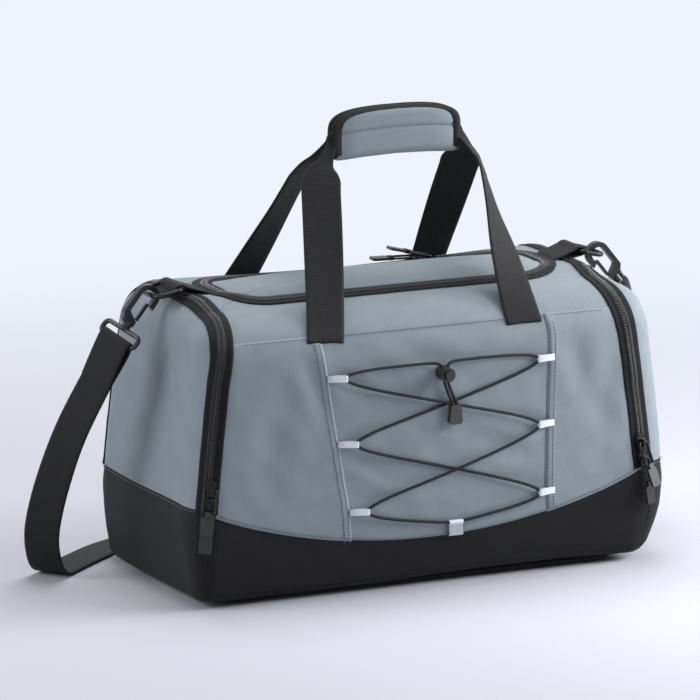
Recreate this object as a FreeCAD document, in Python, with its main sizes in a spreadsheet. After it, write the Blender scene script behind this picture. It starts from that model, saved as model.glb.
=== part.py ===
import FreeCAD, Part
import math
import os
import Sketcher
from FreeCAD import Vector

# A soft duffel bag, in millimetres. +X is the bag's length, +Z is up and the front faces -Y.
# The origin is the middle of the flat underside of the base.

document = FreeCAD.newDocument("duffel_bag")
sheet = document.addObject("Spreadsheet::Sheet", "sizes")

driving = {
    # The loaf: half lengths and widths at the base, at the belly and at the top.
    "base_half_length": 234.0,
    "belly_half_length": 250.0,
    "top_half_length": 224.5,
    "base_half_width": 116.0,
    "belly_half_width": 123.0,
    "top_half_width": 116.0,
    "belly_height": 80.0,
    "bag_height": 279.0,
    "corner_radius": 36.0,
    "end_top_radius": 30.0,
    "side_top_radius": 55.0,
    # Cloth, boards and seams.
    "wall": 2.4,
    "board": 3.0,
    "board_inset": 26.0,
    "skirt_end_height": 92.0,
    "skirt_middle_height": 49.0,
    "skirt_arc_half_span": 228.0,
    "yoke_height": 246.0,
    "yoke_drop": 5.6,
    # Front slip pocket.
    "pocket_left_top": 109.0,
    "pocket_left_bottom": 80.0,
    "pocket_right": 131.0,
    "pocket_bottom": 64.0,
    "pocket_depth": 10.0,
    # Zips: tape thickness, coil height over the cloth and the widths across the chain.
    "tape": 1.2,
    "coil_height": 1.3,
    "coil_half_width": 3.4,
    "tape_half_width": 12.0,
    "chain_gap": 0.4,
    "hinge_gap": 1.8,
    "hinge_coil_gap": 4.0,
    "arch_inset": 20.0,
    "arch_outer_edge": 9.0,
    "arch_inner_edge": 31.0,
    "end_wall_gap": 1.5,
    "lid_half_length": 172.0,
    "lid_half_width": 50.0,
    "lid_corner": 40.0,
    # Zip sliders and their pulls.
    "slider_length": 15.0,
    "slider_width": 11.0,
    "slider_plate": 1.8,
    "bridge_width": 3.0,
    "pull_wire_radius": 1.1,
    "pull_ring_length": 24.0,
    "pull_ring_width": 14.0,
    "pull_tab_length": 18.0,
    "pull_tab_width": 12.5,
    "pull_tab_thickness": 2.6,
    "slider_low_height": 102.0,
    "slider_spacing": 17.0,
    "lid_slider_place": 64.0,
    # Carry handles and grip.
    "webbing": 40.0,
    "webbing_thickness": 2.0,
    "handle_spread": 107.0,
    "handle_sewn_height": 236.0,
    "grip_middle": 20.0,
    "grip_height": 420.0,
    "grip_length": 134.0,
    "grip_tall": 46.0,
    "grip_pad": 3.6,
    "running_gap": 0.3,
    "seam_gap": 0.15,
    # Shoulder strap, hooks and D-rings.
    "strap_width": 38.0,
    "ring_wire_radius": 2.4,
    "ring_half_width": 22.0,
    "ring_bar_inset": 12.5,
    "ring_bar_height": 289.0,
    "tab_half_width": 19.0,
    "tab_sewn_inset": 40.0,
    "swivel_overhang": 34.5,
    "swivel_height": 256.0,
    "hook_reach": 32.0,
    "hook_bowl_radius": 7.0,
    "ring_play": 1.7,
    "hook_thickness": 7.0,
    # Elastic cord, its loops and its lock.
    "cord_radius": 1.5,
    "cord_loop_height": 6.0,
    "loop_reach": 15.5,
    "loop_top": 212.0,
    "loop_middle": 148.0,
    "loop_low": 82.0,
    "hem_loop_place": 26.0,
    "hem_loop_height": 62.0,
    "upper_crossing_place": 21.0,
    "upper_crossing_height": 178.0,
    "lower_crossing_place": 27.5,
    "lower_crossing_height": 114.0,
    "cord_end_place": 25.0,
    "cord_end_height": 177.0,
    "lock_place": 14.0,
    "lock_height": 208.0,
    "lock_radius": 7.0,
    "lock_length": 15.5,
    "plunger_radius": 4.6,
    "plunger_travel": 2.0,
}


class Size:
    """A number that remembers the spreadsheet formula it comes from."""

    def __init__(self, value, formula):
        self.value = float(value)
        self.formula = formula

    def __add__(self, other):
        other = as_size(other)
        return Size(self.value + other.value, f"({self.formula} + {other.formula})")

    def __sub__(self, other):
        other = as_size(other)
        return Size(self.value - other.value, f"({self.formula} - {other.formula})")

    def __mul__(self, other):
        other = as_size(other)
        return Size(self.value * other.value, f"({self.formula} * {other.formula})")

    def __truediv__(self, other):
        other = as_size(other)
        return Size(self.value / other.value, f"({self.formula} / {other.formula})")

    def __neg__(self):
        return self * -1

    def __radd__(self, other):
        return as_size(other) + self

    def __rsub__(self, other):
        return as_size(other) - self

    def __rmul__(self, other):
        return as_size(other) * self


def as_size(number):
    if isinstance(number, Size):
        return number
    return Size(number, f"({float(number)})")


class Sizes:
    """The spreadsheet's cells, one attribute for each alias."""


size = Sizes()
for row, (alias, number) in enumerate(driving.items(), start=1):
    sheet.set(f"A{row}", alias)
    sheet.set(f"B{row}", str(number))
    sheet.setAlias(f"B{row}", alias)
    setattr(size, alias, Size(number, f"sizes.{alias}"))
document.recompute()


# ---- Small helpers ----

def bind(thing, name, number):
    """Sets a property and ties it to the spreadsheet."""
    number = as_size(number)
    thing.setExpression(name, number.formula)


def place(thing, x=0.0, y=0.0, z=0.0, turn=None):
    """Puts a piece at a bound position, turned by a fixed rotation."""
    if turn is not None:
        thing.Placement = FreeCAD.Placement(Vector(), turn)
    for axis, number in (("x", x), ("y", y), ("z", z)):
        bind(thing, f"Placement.Base.{axis}", number)
    return thing


def new_body(label):
    body = document.addObject("PartDesign::Body", label)
    body.Label = label
    return body


def new_sketch(body, role, lift=None):
    """A sketch on one of the body's own origin planes, lifted along its normal."""
    sketch = body.newObject("Sketcher::SketchObject", "outline")
    plane = next(item for item in body.Origin.OriginFeatures if item.Role == role)
    sketch.AttachmentSupport = [(plane, "")]
    sketch.MapMode = "FlatFace"
    if lift is not None:
        bind(sketch, "AttachmentOffset.Base.z", lift)
    return sketch


def constrain(sketch, kind, number, *where):
    number = as_size(number)
    index = sketch.addConstraint(Sketcher.Constraint(kind, *where, number.value))
    sketch.setExpression(f"Constraints[{index}]", number.formula)


def fixed_point(sketch, x, y):
    """A construction point held at a bound place."""
    x, y = as_size(x), as_size(y)
    point = sketch.addGeometry(Part.Point(Vector(x.value, y.value, 0)), True)
    constrain(sketch, "DistanceX", x, -1, 1, point, 1)
    constrain(sketch, "DistanceY", y, -1, 1, point, 1)
    return point


def outline(sketch, corners):
    """A closed outline of straight sides. A corner is (x, y) or (x, y, radius)."""
    count = len(corners)
    spots = [Vector(as_size(c[0]).value, as_size(c[1]).value, 0) for c in corners]
    points = [fixed_point(sketch, c[0], c[1]) for c in corners]
    cuts = []
    for index, corner in enumerate(corners):
        before = (spots[index - 1] - spots[index]).normalize()
        after = (spots[(index + 1) % count] - spots[index]).normalize()
        if len(corner) == 2:
            cuts.append((spots[index], spots[index], None))
            continue
        radius = as_size(corner[2])
        half = before.getAngle(after) / 2
        reach = radius.value / math.tan(half)
        centre = spots[index] + (before + after).normalize() * (radius.value / math.sin(half))
        cuts.append((spots[index] + before * reach, spots[index] + after * reach, (radius, centre)))
    lines = []
    for index in range(count):
        start, end = cuts[index][1], cuts[(index + 1) % count][0]
        line = sketch.addGeometry(Part.LineSegment(start, end), False)
        lines.append(line)
        sketch.addConstraint(Sketcher.Constraint("PointOnObject", points[index], 1, line))
        sketch.addConstraint(Sketcher.Constraint("PointOnObject", points[(index + 1) % count], 1, line))
    for index in range(count):
        first, last = lines[index - 1], lines[index]
        start, end, rounding = cuts[index]
        if rounding is None:
            sketch.addConstraint(Sketcher.Constraint("Coincident", first, 2, last, 1))
            continue
        radius, centre = rounding
        low = math.atan2(start.y - centre.y, start.x - centre.x)
        high = math.atan2(end.y - centre.y, end.x - centre.x)
        left_turn = (start - spots[index]).cross(end - spots[index]).z < 0
        if not left_turn:
            low, high = high, low
        circle = Part.Circle(centre, Vector(0, 0, 1), radius.value)
        arc = sketch.addGeometry(Part.ArcOfCircle(circle, low, high), False)
        ends = (1, 2) if left_turn else (2, 1)
        sketch.addConstraint(Sketcher.Constraint("Tangent", first, 2, arc, ends[0]))
        sketch.addConstraint(Sketcher.Constraint("Tangent", arc, ends[1], last, 1))
        constrain(sketch, "Radius", radius, arc)
    return sketch


def pad(body, sketch, length, both_ways=True):
    feature = body.newObject("PartDesign::Pad", "pad")
    feature.Profile = sketch
    bind(feature, "Length", length)
    feature.SideType = "Symmetric" if both_ways else "One side"
    return feature


def prism(label, role, corners, length, lift=None, both_ways=True):
    """A body padded from an outline on one of its origin planes."""
    body = new_body(label)
    pad(body, outline(new_sketch(body, role, lift), corners), length, both_ways)
    return body


def pocket(body, role, corners, length):
    """Cuts an outline through a body, both ways from its origin plane."""
    feature = body.newObject("PartDesign::Pocket", "pocket")
    feature.Profile = outline(new_sketch(body, role), corners)
    bind(feature, "Length", length)
    feature.SideType = "Symmetric"
    return feature


def box_corners(low_x, high_x, low_y, high_y, radius=None):
    corners = [(low_x, low_y), (high_x, low_y), (high_x, high_y), (low_x, high_y)]
    if radius is None:
        return corners
    return [corner + (radius,) for corner in corners]


def box(label, low, high):
    block = document.addObject("Part::Box", label)
    block.Label = label
    for name, start, end in zip(("Length", "Width", "Height"), low, high):
        bind(block, name, as_size(end) - start)
    return place(block, *low)


def cylinder(label, radius, height, x=0.0, y=0.0, z=0.0, turn=None):
    rod = document.addObject("Part::Cylinder", label)
    rod.Label = label
    bind(rod, "Radius", radius)
    bind(rod, "Height", height)
    return place(rod, x, y, z, turn)


def combine(kind, label, pieces):
    result = document.addObject(kind, label)
    result.Label = label
    result.Shapes = pieces
    return result


def common(label, *pieces):
    return combine("Part::MultiCommon", label, list(pieces))


def fuse(label, *pieces):
    return combine("Part::MultiFuse", label, list(pieces))


def cut(label, base, tool):
    result = document.addObject("Part::Cut", label)
    result.Label = label
    result.Base = base
    result.Tool = tool
    return result


def wire_loop(label, corners, radius):
    """Round wire bent along a closed outline in the body's XY plane."""
    body = new_body(label)
    spine = outline(new_sketch(body, "XY_Plane"), corners)
    first, second = corners[0], corners[1]
    start = (as_size(first[0]) + second[0]) / 2
    section = new_sketch(body, "YZ_Plane", start)
    spot = section.addGeometry(Part.Circle(Vector(as_size(first[1]).value, 0, 0), Vector(0, 0, 1),
                                           as_size(radius).value), False)
    constrain(section, "DistanceX", first[1], -1, 1, spot, 3)
    constrain(section, "DistanceY", 0.0, -1, 1, spot, 3)
    constrain(section, "Radius", radius, spot)
    document.recompute()
    pipe = body.newObject("PartDesign::AdditivePipe", "wire")
    pipe.Profile = section
    pipe.Spine = (spine, [f"Edge{number + 1}" for number in range(len(spine.Shape.Edges))])
    pipe.Mode = "Frenet"
    return body


def frame_at(point, along, outward):
    """A placement whose X runs along a direction and whose Z faces outward."""
    along = Vector(along).normalize()
    outward = (outward - along * outward.dot(along)).normalize()
    across = outward.cross(along)
    matrix = FreeCAD.Matrix(along.x, across.x, outward.x, point.x,
                            along.y, across.y, outward.y, point.y,
                            along.z, across.z, outward.z, point.z, 0, 0, 0, 1)
    return FreeCAD.Placement(matrix)


def feature(label, shape):
    piece = document.addObject("Part::Feature", label)
    piece.Label = label
    piece.Shape = shape
    return piece


def ribbon(sections, thickness):
    """A flat strip through sections, each (centre, direction across, width)."""
    wires = []
    for index, (centre, across, width) in enumerate(sections):
        before = sections[max(index - 1, 0)][0]
        after = sections[min(index + 1, len(sections) - 1)][0]
        across = Vector(across).normalize()
        tangent = (after - before).normalize()
        across = (across - tangent * across.dot(tangent)).normalize()
        normal = across.cross(tangent)
        side, up = across * (width / 2), normal * (thickness / 2)
        corners = [centre - side - up, centre + side - up, centre + side + up, centre - side + up]
        wires.append(Part.makePolygon(corners + [corners[0]]))
    return Part.makeLoft(wires, True, True)


# ---- The loaf ----

reach = 400.0
lean_height = size.bag_height - size.belly_height
end_lean = (size.belly_half_length - size.top_half_length) / lean_height
side_lean = (size.belly_half_width - size.top_half_width) / lean_height


def end_place(height):
    """Half length of the bag at a height above the belly."""
    return size.belly_half_length - end_lean * (height - size.belly_height)


def side_place(height):
    """Half width of the bag at a height above the belly."""
    return size.belly_half_width - side_lean * (height - size.belly_height)


def loaf(label, grow):
    """The whole bag as one solid, made larger all round by a distance."""
    body = new_body(label + "_sides")
    levels = [
        (size.base_half_length, size.base_half_width, -grow),
        (size.belly_half_length, size.belly_half_width, size.belly_height),
        (end_place(size.bag_height + 10.0), side_place(size.bag_height + 10.0), size.bag_height + 10.0),
    ]
    rings = []
    for length, width, height in levels:
        corners = box_corners(-(length + grow), length + grow, -(width + grow), width + grow,
                              size.corner_radius + grow)
        rings.append(outline(new_sketch(body, "XY_Plane", height), corners))
    sides = body.newObject("PartDesign::AdditiveLoft", "sides")
    sides.Profile = rings[0]
    sides.Sections = rings[1:]
    sides.Ruled = True
    slack = 0.4
    top = size.bag_height + grow
    profiles = []
    for role, half_top, lean, radius in (
        ("XZ_Plane", size.top_half_length, end_lean, size.end_top_radius),
        ("YZ_Plane", size.top_half_width, side_lean, size.side_top_radius),
    ):
        upper = half_top + grow + slack - lean * grow
        lower = upper + lean * (top + 20.0)
        corners = [(-lower, -20.0), (lower, -20.0), (upper, top, radius + grow), (-upper, top, radius + grow)]
        profiles.append(prism(f"{label}_{role}", role, corners, 2 * reach))
    return common(label, body, *profiles)


outer_loaf = loaf("outer_loaf", as_size(0.0))
inner_loaf = loaf("inner_loaf", -size.wall)
under_tape_loaf = loaf("under_tape_loaf", -size.tape)
coil_loaf = loaf("coil_loaf", size.coil_height)
shell = cut("shell", outer_loaf, inner_loaf)
tape_layer = cut("tape_layer", outer_loaf, under_tape_loaf)
coil_layer = cut("coil_layer", coil_loaf, under_tape_loaf)


# ---- Cutting shapes ----

cut_top = size.bag_height + 30.0


def skirt_region(label, lift):
    """Everything under the skirt's top seam, which sags in an arc between the ends."""
    body = new_body(label)
    sketch = new_sketch(body, "XZ_Plane")
    side, end_height, middle = size.skirt_arc_half_span, size.skirt_end_height + lift, size.skirt_middle_height + lift
    drop = end_height - middle
    radius = (side * side + drop * drop) / (2 * drop)
    corners = [(side, end_height), (reach, end_height), (reach, -20.0), (-reach, -20.0), (-reach, end_height),
               (-side, end_height)]
    points = [fixed_point(sketch, x, y) for x, y in corners]
    spots = [Vector(as_size(x).value, as_size(y).value, 0) for x, y in corners]
    lines = [sketch.addGeometry(Part.LineSegment(spots[i], spots[i + 1]), False) for i in range(5)]
    arc = sketch.addGeometry(Part.Arc(spots[5], Vector(0, middle.value, 0), spots[0]), False)
    for index, line in enumerate(lines):
        sketch.addConstraint(Sketcher.Constraint("Coincident", line, 1, points[index], 1))
        sketch.addConstraint(Sketcher.Constraint("Coincident", line, 2, points[index + 1], 1))
    sketch.addConstraint(Sketcher.Constraint("Coincident", arc, 1, points[5], 1))
    sketch.addConstraint(Sketcher.Constraint("Coincident", arc, 2, points[0], 1))
    constrain(sketch, "Radius", radius, arc)
    pad(body, sketch, 2 * reach)
    return body


def end_slab(label, side, near, far):
    """Leaning slab parallel to an end face, between two distances in from it."""
    low, high = as_size(-20.0), cut_top
    corners = [(side * (end_place(low) - near), low), (side * (end_place(low) - far), low),
               (side * (end_place(high) - far), high), (side * (end_place(high) - near), high)]
    return prism(label, "XZ_Plane", corners, 2 * reach)


def lid_plug(label, grow):
    """Upright plug whose outline follows the lid zip at a distance outside its chain."""
    corners = box_corners(-(size.lid_half_length + grow), size.lid_half_length + grow,
                          -(size.lid_half_width + grow), size.lid_half_width + grow, size.lid_corner + grow)
    return prism(label, "XY_Plane", corners, cut_top - size.yoke_height, size.yoke_height, both_ways=False)


skirt_block = skirt_region("skirt_block", as_size(0.0))
upper_shell = cut("upper_shell", shell, skirt_block)
upper_tape = cut("upper_tape", tape_layer, skirt_block)
upper_coil = cut("upper_coil", coil_layer, skirt_block)
low, high = as_size(-20.0), cut_top
middle_block = prism("middle_block", "XZ_Plane", [
    (-(end_place(low) - size.arch_inner_edge), low), (end_place(low) - size.arch_inner_edge, low),
    (end_place(high) - size.arch_inner_edge, high), (-(end_place(high) - size.arch_inner_edge), high),
], 2 * reach)
body_shell = common("body_shell", upper_shell, middle_block)


# ---- Base ----

nodes = {}

bottom_block = box("bottom_block", (-reach, -reach, -1.0), (reach, reach, size.wall))
nodes["base_bottom"] = common("base_bottom", outer_loaf, bottom_block)
lower_shell = common("lower_shell", shell, skirt_block)
nodes["base_skirt"] = cut("base_skirt", lower_shell, bottom_block)
board_x = size.base_half_length - size.board_inset
board_y = size.base_half_width - size.board_inset / 2
nodes["base_board"] = prism("base_board", "XY_Plane",
                            box_corners(-board_x, board_x, -board_y, board_y, size.corner_radius / 2),
                            size.board, size.wall, both_ways=False)


# ---- Front, back and top panels ----

pocket_top = size.yoke_height - size.yoke_drop
front_block = box("front_block", (-reach, -reach, 0.0), (reach, 0.0, size.yoke_height))
back_block = box("back_block", (-reach, 0.0, 0.0), (reach, reach, size.yoke_height))
yoke_block = box("yoke_block", (-reach, -reach, size.yoke_height), (reach, reach, cut_top))
pocket_corners = [(-size.pocket_left_bottom, size.pocket_bottom), (size.pocket_right, size.pocket_bottom),
                  (size.pocket_right, size.yoke_height), (-size.pocket_left_top, size.yoke_height)]
pocket_hole = prism("pocket_hole", "XZ_Plane", pocket_corners, 2 * reach)
pocket_face_block = box("pocket_face_block", (-reach, -reach, 0.0), (reach, 0.0, pocket_top))
front_half = common("front_half", body_shell, front_block)
nodes["front_panel"] = cut("front_panel", front_half, pocket_hole)
nodes["pocket_panel"] = common("pocket_panel", body_shell, pocket_face_block, pocket_hole)
nodes["back_panel"] = common("back_panel", body_shell, back_block)

lining_back = side_place(size.yoke_height) - size.wall - size.pocket_depth - size.wall
tray_inner_corners = [(-(size.pocket_left_bottom - size.wall), size.pocket_bottom + size.wall),
                      (size.pocket_right - size.wall, size.pocket_bottom + size.wall),
                      (size.pocket_right - size.wall, size.yoke_height),
                      (-(size.pocket_left_top - size.wall), size.yoke_height)]
tray_outer_corners = [(-(size.pocket_left_bottom + size.wall), size.pocket_bottom - size.wall),
                      (size.pocket_right + size.wall, size.pocket_bottom - size.wall),
                      (size.pocket_right + size.wall, size.yoke_height + size.wall),
                      (-(size.pocket_left_top + size.wall), size.yoke_height + size.wall)]
tray_block = prism("tray_block", "XZ_Plane", tray_outer_corners, 2 * reach)
tray_slab = box("tray_slab", (-reach, -reach, 0.0), (reach, -lining_back, cut_top))
tray_solid = common("tray_solid", inner_loaf, tray_block, tray_slab)
tray_hollow = prism("tray_hollow", "XZ_Plane", tray_inner_corners, 2 * reach)
tray_hollow_slab = box("tray_hollow_slab", (-reach, -reach, 0.0), (reach, -(lining_back + size.wall), cut_top))
tray_room = common("tray_room", tray_hollow, tray_hollow_slab)
nodes["pocket_lining"] = cut("pocket_lining", tray_solid, tray_room)

lid_tape_outer = lid_plug("lid_tape_outer", size.tape_half_width)
lid_coil_outer = lid_plug("lid_coil_outer", size.coil_half_width)
lid_gap_outer = lid_plug("lid_gap_outer", size.chain_gap)
lid_gap_inner = lid_plug("lid_gap_inner", -size.chain_gap)
lid_coil_inner = lid_plug("lid_coil_inner", -size.coil_half_width)
lid_tape_inner = lid_plug("lid_tape_inner", -size.tape_half_width)
top_shell = common("top_shell", body_shell, yoke_block)
nodes["top_band"] = cut("top_band", top_shell, lid_tape_outer)


# ---- Lid zip: the outer tape, the stretch behind the hinge line and the lid's own tape ----

hinge_line = size.lid_half_width - size.tape_half_width


def zip_half(label, tape_outside, tape_inside, coil_outside, coil_inside):
    """Half of the lid zip: a flat tape ring with its coil standing along the chain."""
    band = cut(f"{label}_band", common(f"{label}_tape", tape_layer, tape_outside), tape_inside)
    coil = cut(f"{label}_rib", common(f"{label}_coil", coil_layer, coil_outside), coil_inside)
    return fuse(label, band, coil)


outer_zip = zip_half("lid_zip_outer", lid_tape_outer, lid_gap_outer, lid_coil_outer, lid_gap_outer)
inner_zip = zip_half("inner_zip", lid_gap_inner, lid_tape_inner, lid_gap_inner, lid_coil_inner)
behind_hinge = box("behind_hinge", (-reach, hinge_line, size.yoke_height), (reach, size.lid_half_width, cut_top))
panel_space = box("panel_space", (-reach, hinge_line - size.hinge_gap, size.yoke_height),
                  (reach, size.lid_half_width, cut_top))
coil_space = box("coil_space", (-reach, hinge_line - size.hinge_coil_gap, size.yoke_height),
                 (reach, size.lid_half_width, cut_top))
nodes["lid_zip_outer"] = outer_zip
nodes["lid_zip_back_run"] = common("lid_zip_back_run", inner_zip, behind_hinge)
nodes["lid_zip_inner"] = cut("lid_zip_inner", inner_zip, coil_space)
nodes["lid_panel"] = cut("lid_panel", common("lid_cloth", shell, lid_tape_inner), panel_space)


# ---- Ends: flap panel, arched zip and the inner end wall ----

def end_pieces(name, side):
    """One end of the bag, from its outer flap to the wall behind the end pocket."""
    flap_slab = end_slab(f"flap_slab_{name}", side, -60.0, size.arch_outer_edge)
    nodes[f"end_flap_{name}"] = common(f"end_flap_{name}", upper_shell, flap_slab)
    chain, gap, half = size.arch_inset, size.chain_gap, size.coil_half_width
    for part_name, tape_near, tape_far, coil_near, coil_far in (
        ("flap_zip", size.arch_outer_edge, chain - gap, chain - half, chain - gap),
        ("arch_zip", chain + gap, size.arch_inner_edge, chain + gap, chain + half),
    ):
        label = f"{part_name}_{name}"
        band = common(f"{label}_band", upper_tape, end_slab(f"{label}_tape", side, tape_near, tape_far))
        coil = common(f"{label}_rib", upper_coil, end_slab(f"{label}_coil", side, coil_near, coil_far))
        nodes[label] = fuse(label, band, coil)
    near = size.arch_inner_edge + size.end_wall_gap
    wall_slab = end_slab(f"wall_slab_{name}", side, near, near + size.wall)
    floor_block = box(f"floor_block_{name}", (-reach, -reach, size.wall), (reach, reach, cut_top))
    nodes[f"end_wall_{name}"] = common(f"end_wall_{name}", inner_loaf, wall_slab, floor_block)


for end_name, end_side in (("left", -1), ("right", 1)):
    end_pieces(end_name, end_side)


# ---- Zip sliders and their pulls ----

slider_floor = size.running_gap
slider_channel = size.coil_height + size.running_gap
slider_top = slider_channel + size.slider_plate
pull_axis_height = slider_top + size.pull_wire_radius + size.running_gap + 0.1
joints = {}


def slider(label):
    """A slider that rides over the coil: X is its travel and Z faces away from the bag."""
    half_long, half_wide = size.slider_length / 2, size.slider_width / 2
    body = prism(label, "XY_Plane", [(-half_long, -half_wide + 1.5, 1.0), (half_long, -half_wide, 2.0),
                                     (half_long, half_wide, 2.0), (-half_long, half_wide - 1.5, 1.0)],
                 slider_top - slider_floor, slider_floor, both_ways=False)
    channel = size.coil_half_width + 3 * size.running_gap
    cutter = body.newObject("PartDesign::Pocket", "channel")
    cutter.Profile = outline(new_sketch(body, "YZ_Plane"), box_corners(-channel, channel, -1.0, slider_channel))
    bind(cutter, "Length", 2 * size.slider_length)
    cutter.SideType = "Symmetric"
    hole = size.pull_wire_radius + size.running_gap + 0.1
    arch = body.newObject("PartDesign::Pad", "bridge")
    arch.Profile = outline(new_sketch(body, "XZ_Plane"), box_corners(
        -(hole + 2.2), hole + 2.2, slider_top - 0.5, pull_axis_height + hole + 1.2, 1.0))
    bind(arch, "Length", size.bridge_width)
    arch.SideType = "Symmetric"
    pocket(body, "XZ_Plane", box_corners(-hole, hole, pull_axis_height - hole, pull_axis_height + hole, 1.0),
           2 * size.bridge_width)
    return body


def pull_ring(label):
    """Wire ring through the slider's bridge, hanging towards -X."""
    half = size.pull_ring_width / 2 - size.pull_wire_radius
    corners = box_corners(-size.pull_ring_length, 0.0, -half, half, 3.0)
    return wire_loop(label, corners, size.pull_wire_radius)


def pull_tab(label):
    """Moulded tab with a narrow neck round the far side of the ring."""
    wire = size.pull_wire_radius
    ring_end = -size.pull_ring_length
    neck = prism(label, "XY_Plane", box_corners(ring_end - 3.0, ring_end + wire + 1.0, -3.0, 3.0), 2 * wire + 2.0)
    plate = neck.newObject("PartDesign::Pad", "plate")
    half = size.pull_tab_width / 2
    plate.Profile = outline(new_sketch(neck, "XY_Plane"), box_corners(
        ring_end - 2.5 - size.pull_tab_length, ring_end - 2.5, -half, half, 2.0))
    bind(plate, "Length", size.pull_tab_thickness)
    plate.SideType = "Symmetric"
    bore = wire + 0.15
    pocket(neck, "XZ_Plane", box_corners(ring_end - bore, ring_end + bore, -bore, bore, 1.0), size.pull_tab_width)
    return neck


def slider_set(name, point, along, outward, tilt):
    """A slider with its ring and tab, placed on the chain, and the axes of its two joints."""
    frame = frame_at(point, along, outward)
    hinge = frame.multiply(FreeCAD.Placement(Vector(0, 0, pull_axis_height.value),
                                             FreeCAD.Rotation(Vector(0, 1, 0), tilt)))
    for kind, build, placement in (("slider", slider, frame), ("pull_ring", pull_ring, hinge),
                                   ("pull_tab", pull_tab, hinge)):
        label = f"{kind}_{name}"
        nodes[label] = build(label)
        nodes[label].Placement = placement
    joints[f"slider_{name}"] = (frame.Base, frame.Rotation.multVec(Vector(1, 0, 0)))
    joints[f"pull_{name}"] = (hinge.Base, frame.Rotation.multVec(Vector(0, 1, 0)))


def arch_chain(side, height):
    """A point of an arched zip's chain on its straight front run, and the way out from the bag."""
    inset, corner = size.arch_inset.value, size.corner_radius.value
    cosine = 1 - inset / corner
    sine = math.sqrt(1 - cosine * cosine)
    centre_y = side_place(as_size(height)).value - corner
    point = Vector(side * (end_place(as_size(height)).value - inset), -(centre_y + corner * sine), height)
    return point, Vector(side * cosine, -sine, 0)


upper_pull_tilt, lower_pull_tilt = 14.0, 2.0
low_slider = size.slider_low_height.value
for end_name, end_side in (("left", -1), ("right", 1)):
    run_start, away = arch_chain(end_side, low_slider)
    run_end, away = arch_chain(end_side, low_slider + 100.0)
    way = (run_end - run_start).normalize()
    slider_set(f"{end_name}_lower", run_start, way, away, lower_pull_tilt)
    slider_set(f"{end_name}_upper", run_start + way * size.slider_spacing.value, way, away, upper_pull_tilt)
lid_run = Vector(size.lid_slider_place.value, size.lid_half_width.value, size.bag_height.value)
slider_set("lid_first", lid_run, Vector(1, 0, 0), Vector(0, 0, 1), lower_pull_tilt)
slider_set("lid_second", lid_run + Vector(size.slider_spacing.value, 0, 0), Vector(1, 0, 0), Vector(0, 0, 1),
           upper_pull_tilt)


# ---- Carry handles and their grip wrap ----

def handle(label, side):
    """A webbing loop sewn on at the yoke seam, turning on edge inside the grip."""
    spread, middle, tall = size.handle_spread.value, size.grip_middle.value, size.grip_height.value
    width, depth = size.webbing.value, size.webbing_thickness.value
    half_grip = size.grip_length.value / 2 + 1.5
    sewn, yoke = size.handle_sewn_height.value, size.yoke_height.value
    skin = side_place(as_size(sewn)).value
    inner = size.webbing_thickness.value / 2 + 0.6
    rise = tall - yoke
    sections = []
    for end in (-1, 1):
        grip_end = middle + end * half_grip
        foot, bend = end * spread, grip_end + end * 34.0
        leg = (
            (foot, skin + 0.6, sewn, (1.0, 0.0, 0.0), 1.0),
            (foot, skin - 0.5, yoke, (1.0, 0.0, 0.0), 1.0),
            (foot + (bend - foot) * 0.4, skin * 0.6, yoke + rise * 0.42, (0.95, 0.1, -0.2), 0.97),
            (bend, skin * 0.27, yoke + rise * 0.86, (0.72, 0.0, -0.68), 0.85),
            (grip_end + end * 16.0, 9.0, yoke + rise * 0.985, (0.0, 0.0, -1.0), 0.9),
            (grip_end, inner, tall, (0.0, 0.0, -1.0), 0.95),
        )
        half = []
        for x, back, height, across, part in leg:
            centre = Vector(x, side * back, height)
            half.append((centre, Vector(-end * across[0], side * across[1], across[2]), width * part))
        sections += half if end < 0 else half[::-1]
    return feature(label, ribbon(sections, depth))


nodes["handle_front"] = handle("handle_front", -1)
nodes["handle_back"] = handle("handle_back", 1)

wrap_inside = size.webbing_thickness + 0.6 + size.running_gap
wrap_low = size.grip_height - size.grip_tall / 2
grip_left = size.grip_middle - size.grip_length / 2
nodes["grip_wrap_front"] = box("grip_wrap_front", (grip_left, -(wrap_inside + size.grip_pad), wrap_low),
                               (grip_left + size.grip_length, -wrap_inside, wrap_low + size.grip_tall))
nodes["grip_wrap_back"] = box("grip_wrap_back", (grip_left, wrap_inside, wrap_low),
                              (grip_left + size.grip_length, wrap_inside + size.grip_pad,
                               wrap_low + size.grip_tall))
joints["grip_wrap"] = (Vector(size.grip_middle.value, wrap_inside.value, wrap_low.value), Vector(-1, 0, 0))


# ---- Ring tabs, D-rings, swivel hooks and strap loops ----

half_turn = FreeCAD.Rotation(Vector(0, 0, 1), 180)
wire = size.ring_wire_radius
shank = Vector(0.63, 0, 0.7766).normalize()
ring_bar_place = size.top_half_length - size.ring_bar_inset
swivel_place = size.top_half_length + size.swivel_overhang
hook_end = size.hook_bowl_radius - wire - size.ring_play
ring_pull_point = Vector(-swivel_place.value, 0, size.swivel_height.value) + shank * (
    size.hook_reach.value + hook_end.value)
ring_bar_point = Vector(-ring_bar_place.value, 0, size.ring_bar_height.value)
ring_depth = (ring_pull_point - ring_bar_point).Length
bar_lean = Vector(0.36, -0.87, -0.335)


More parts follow.
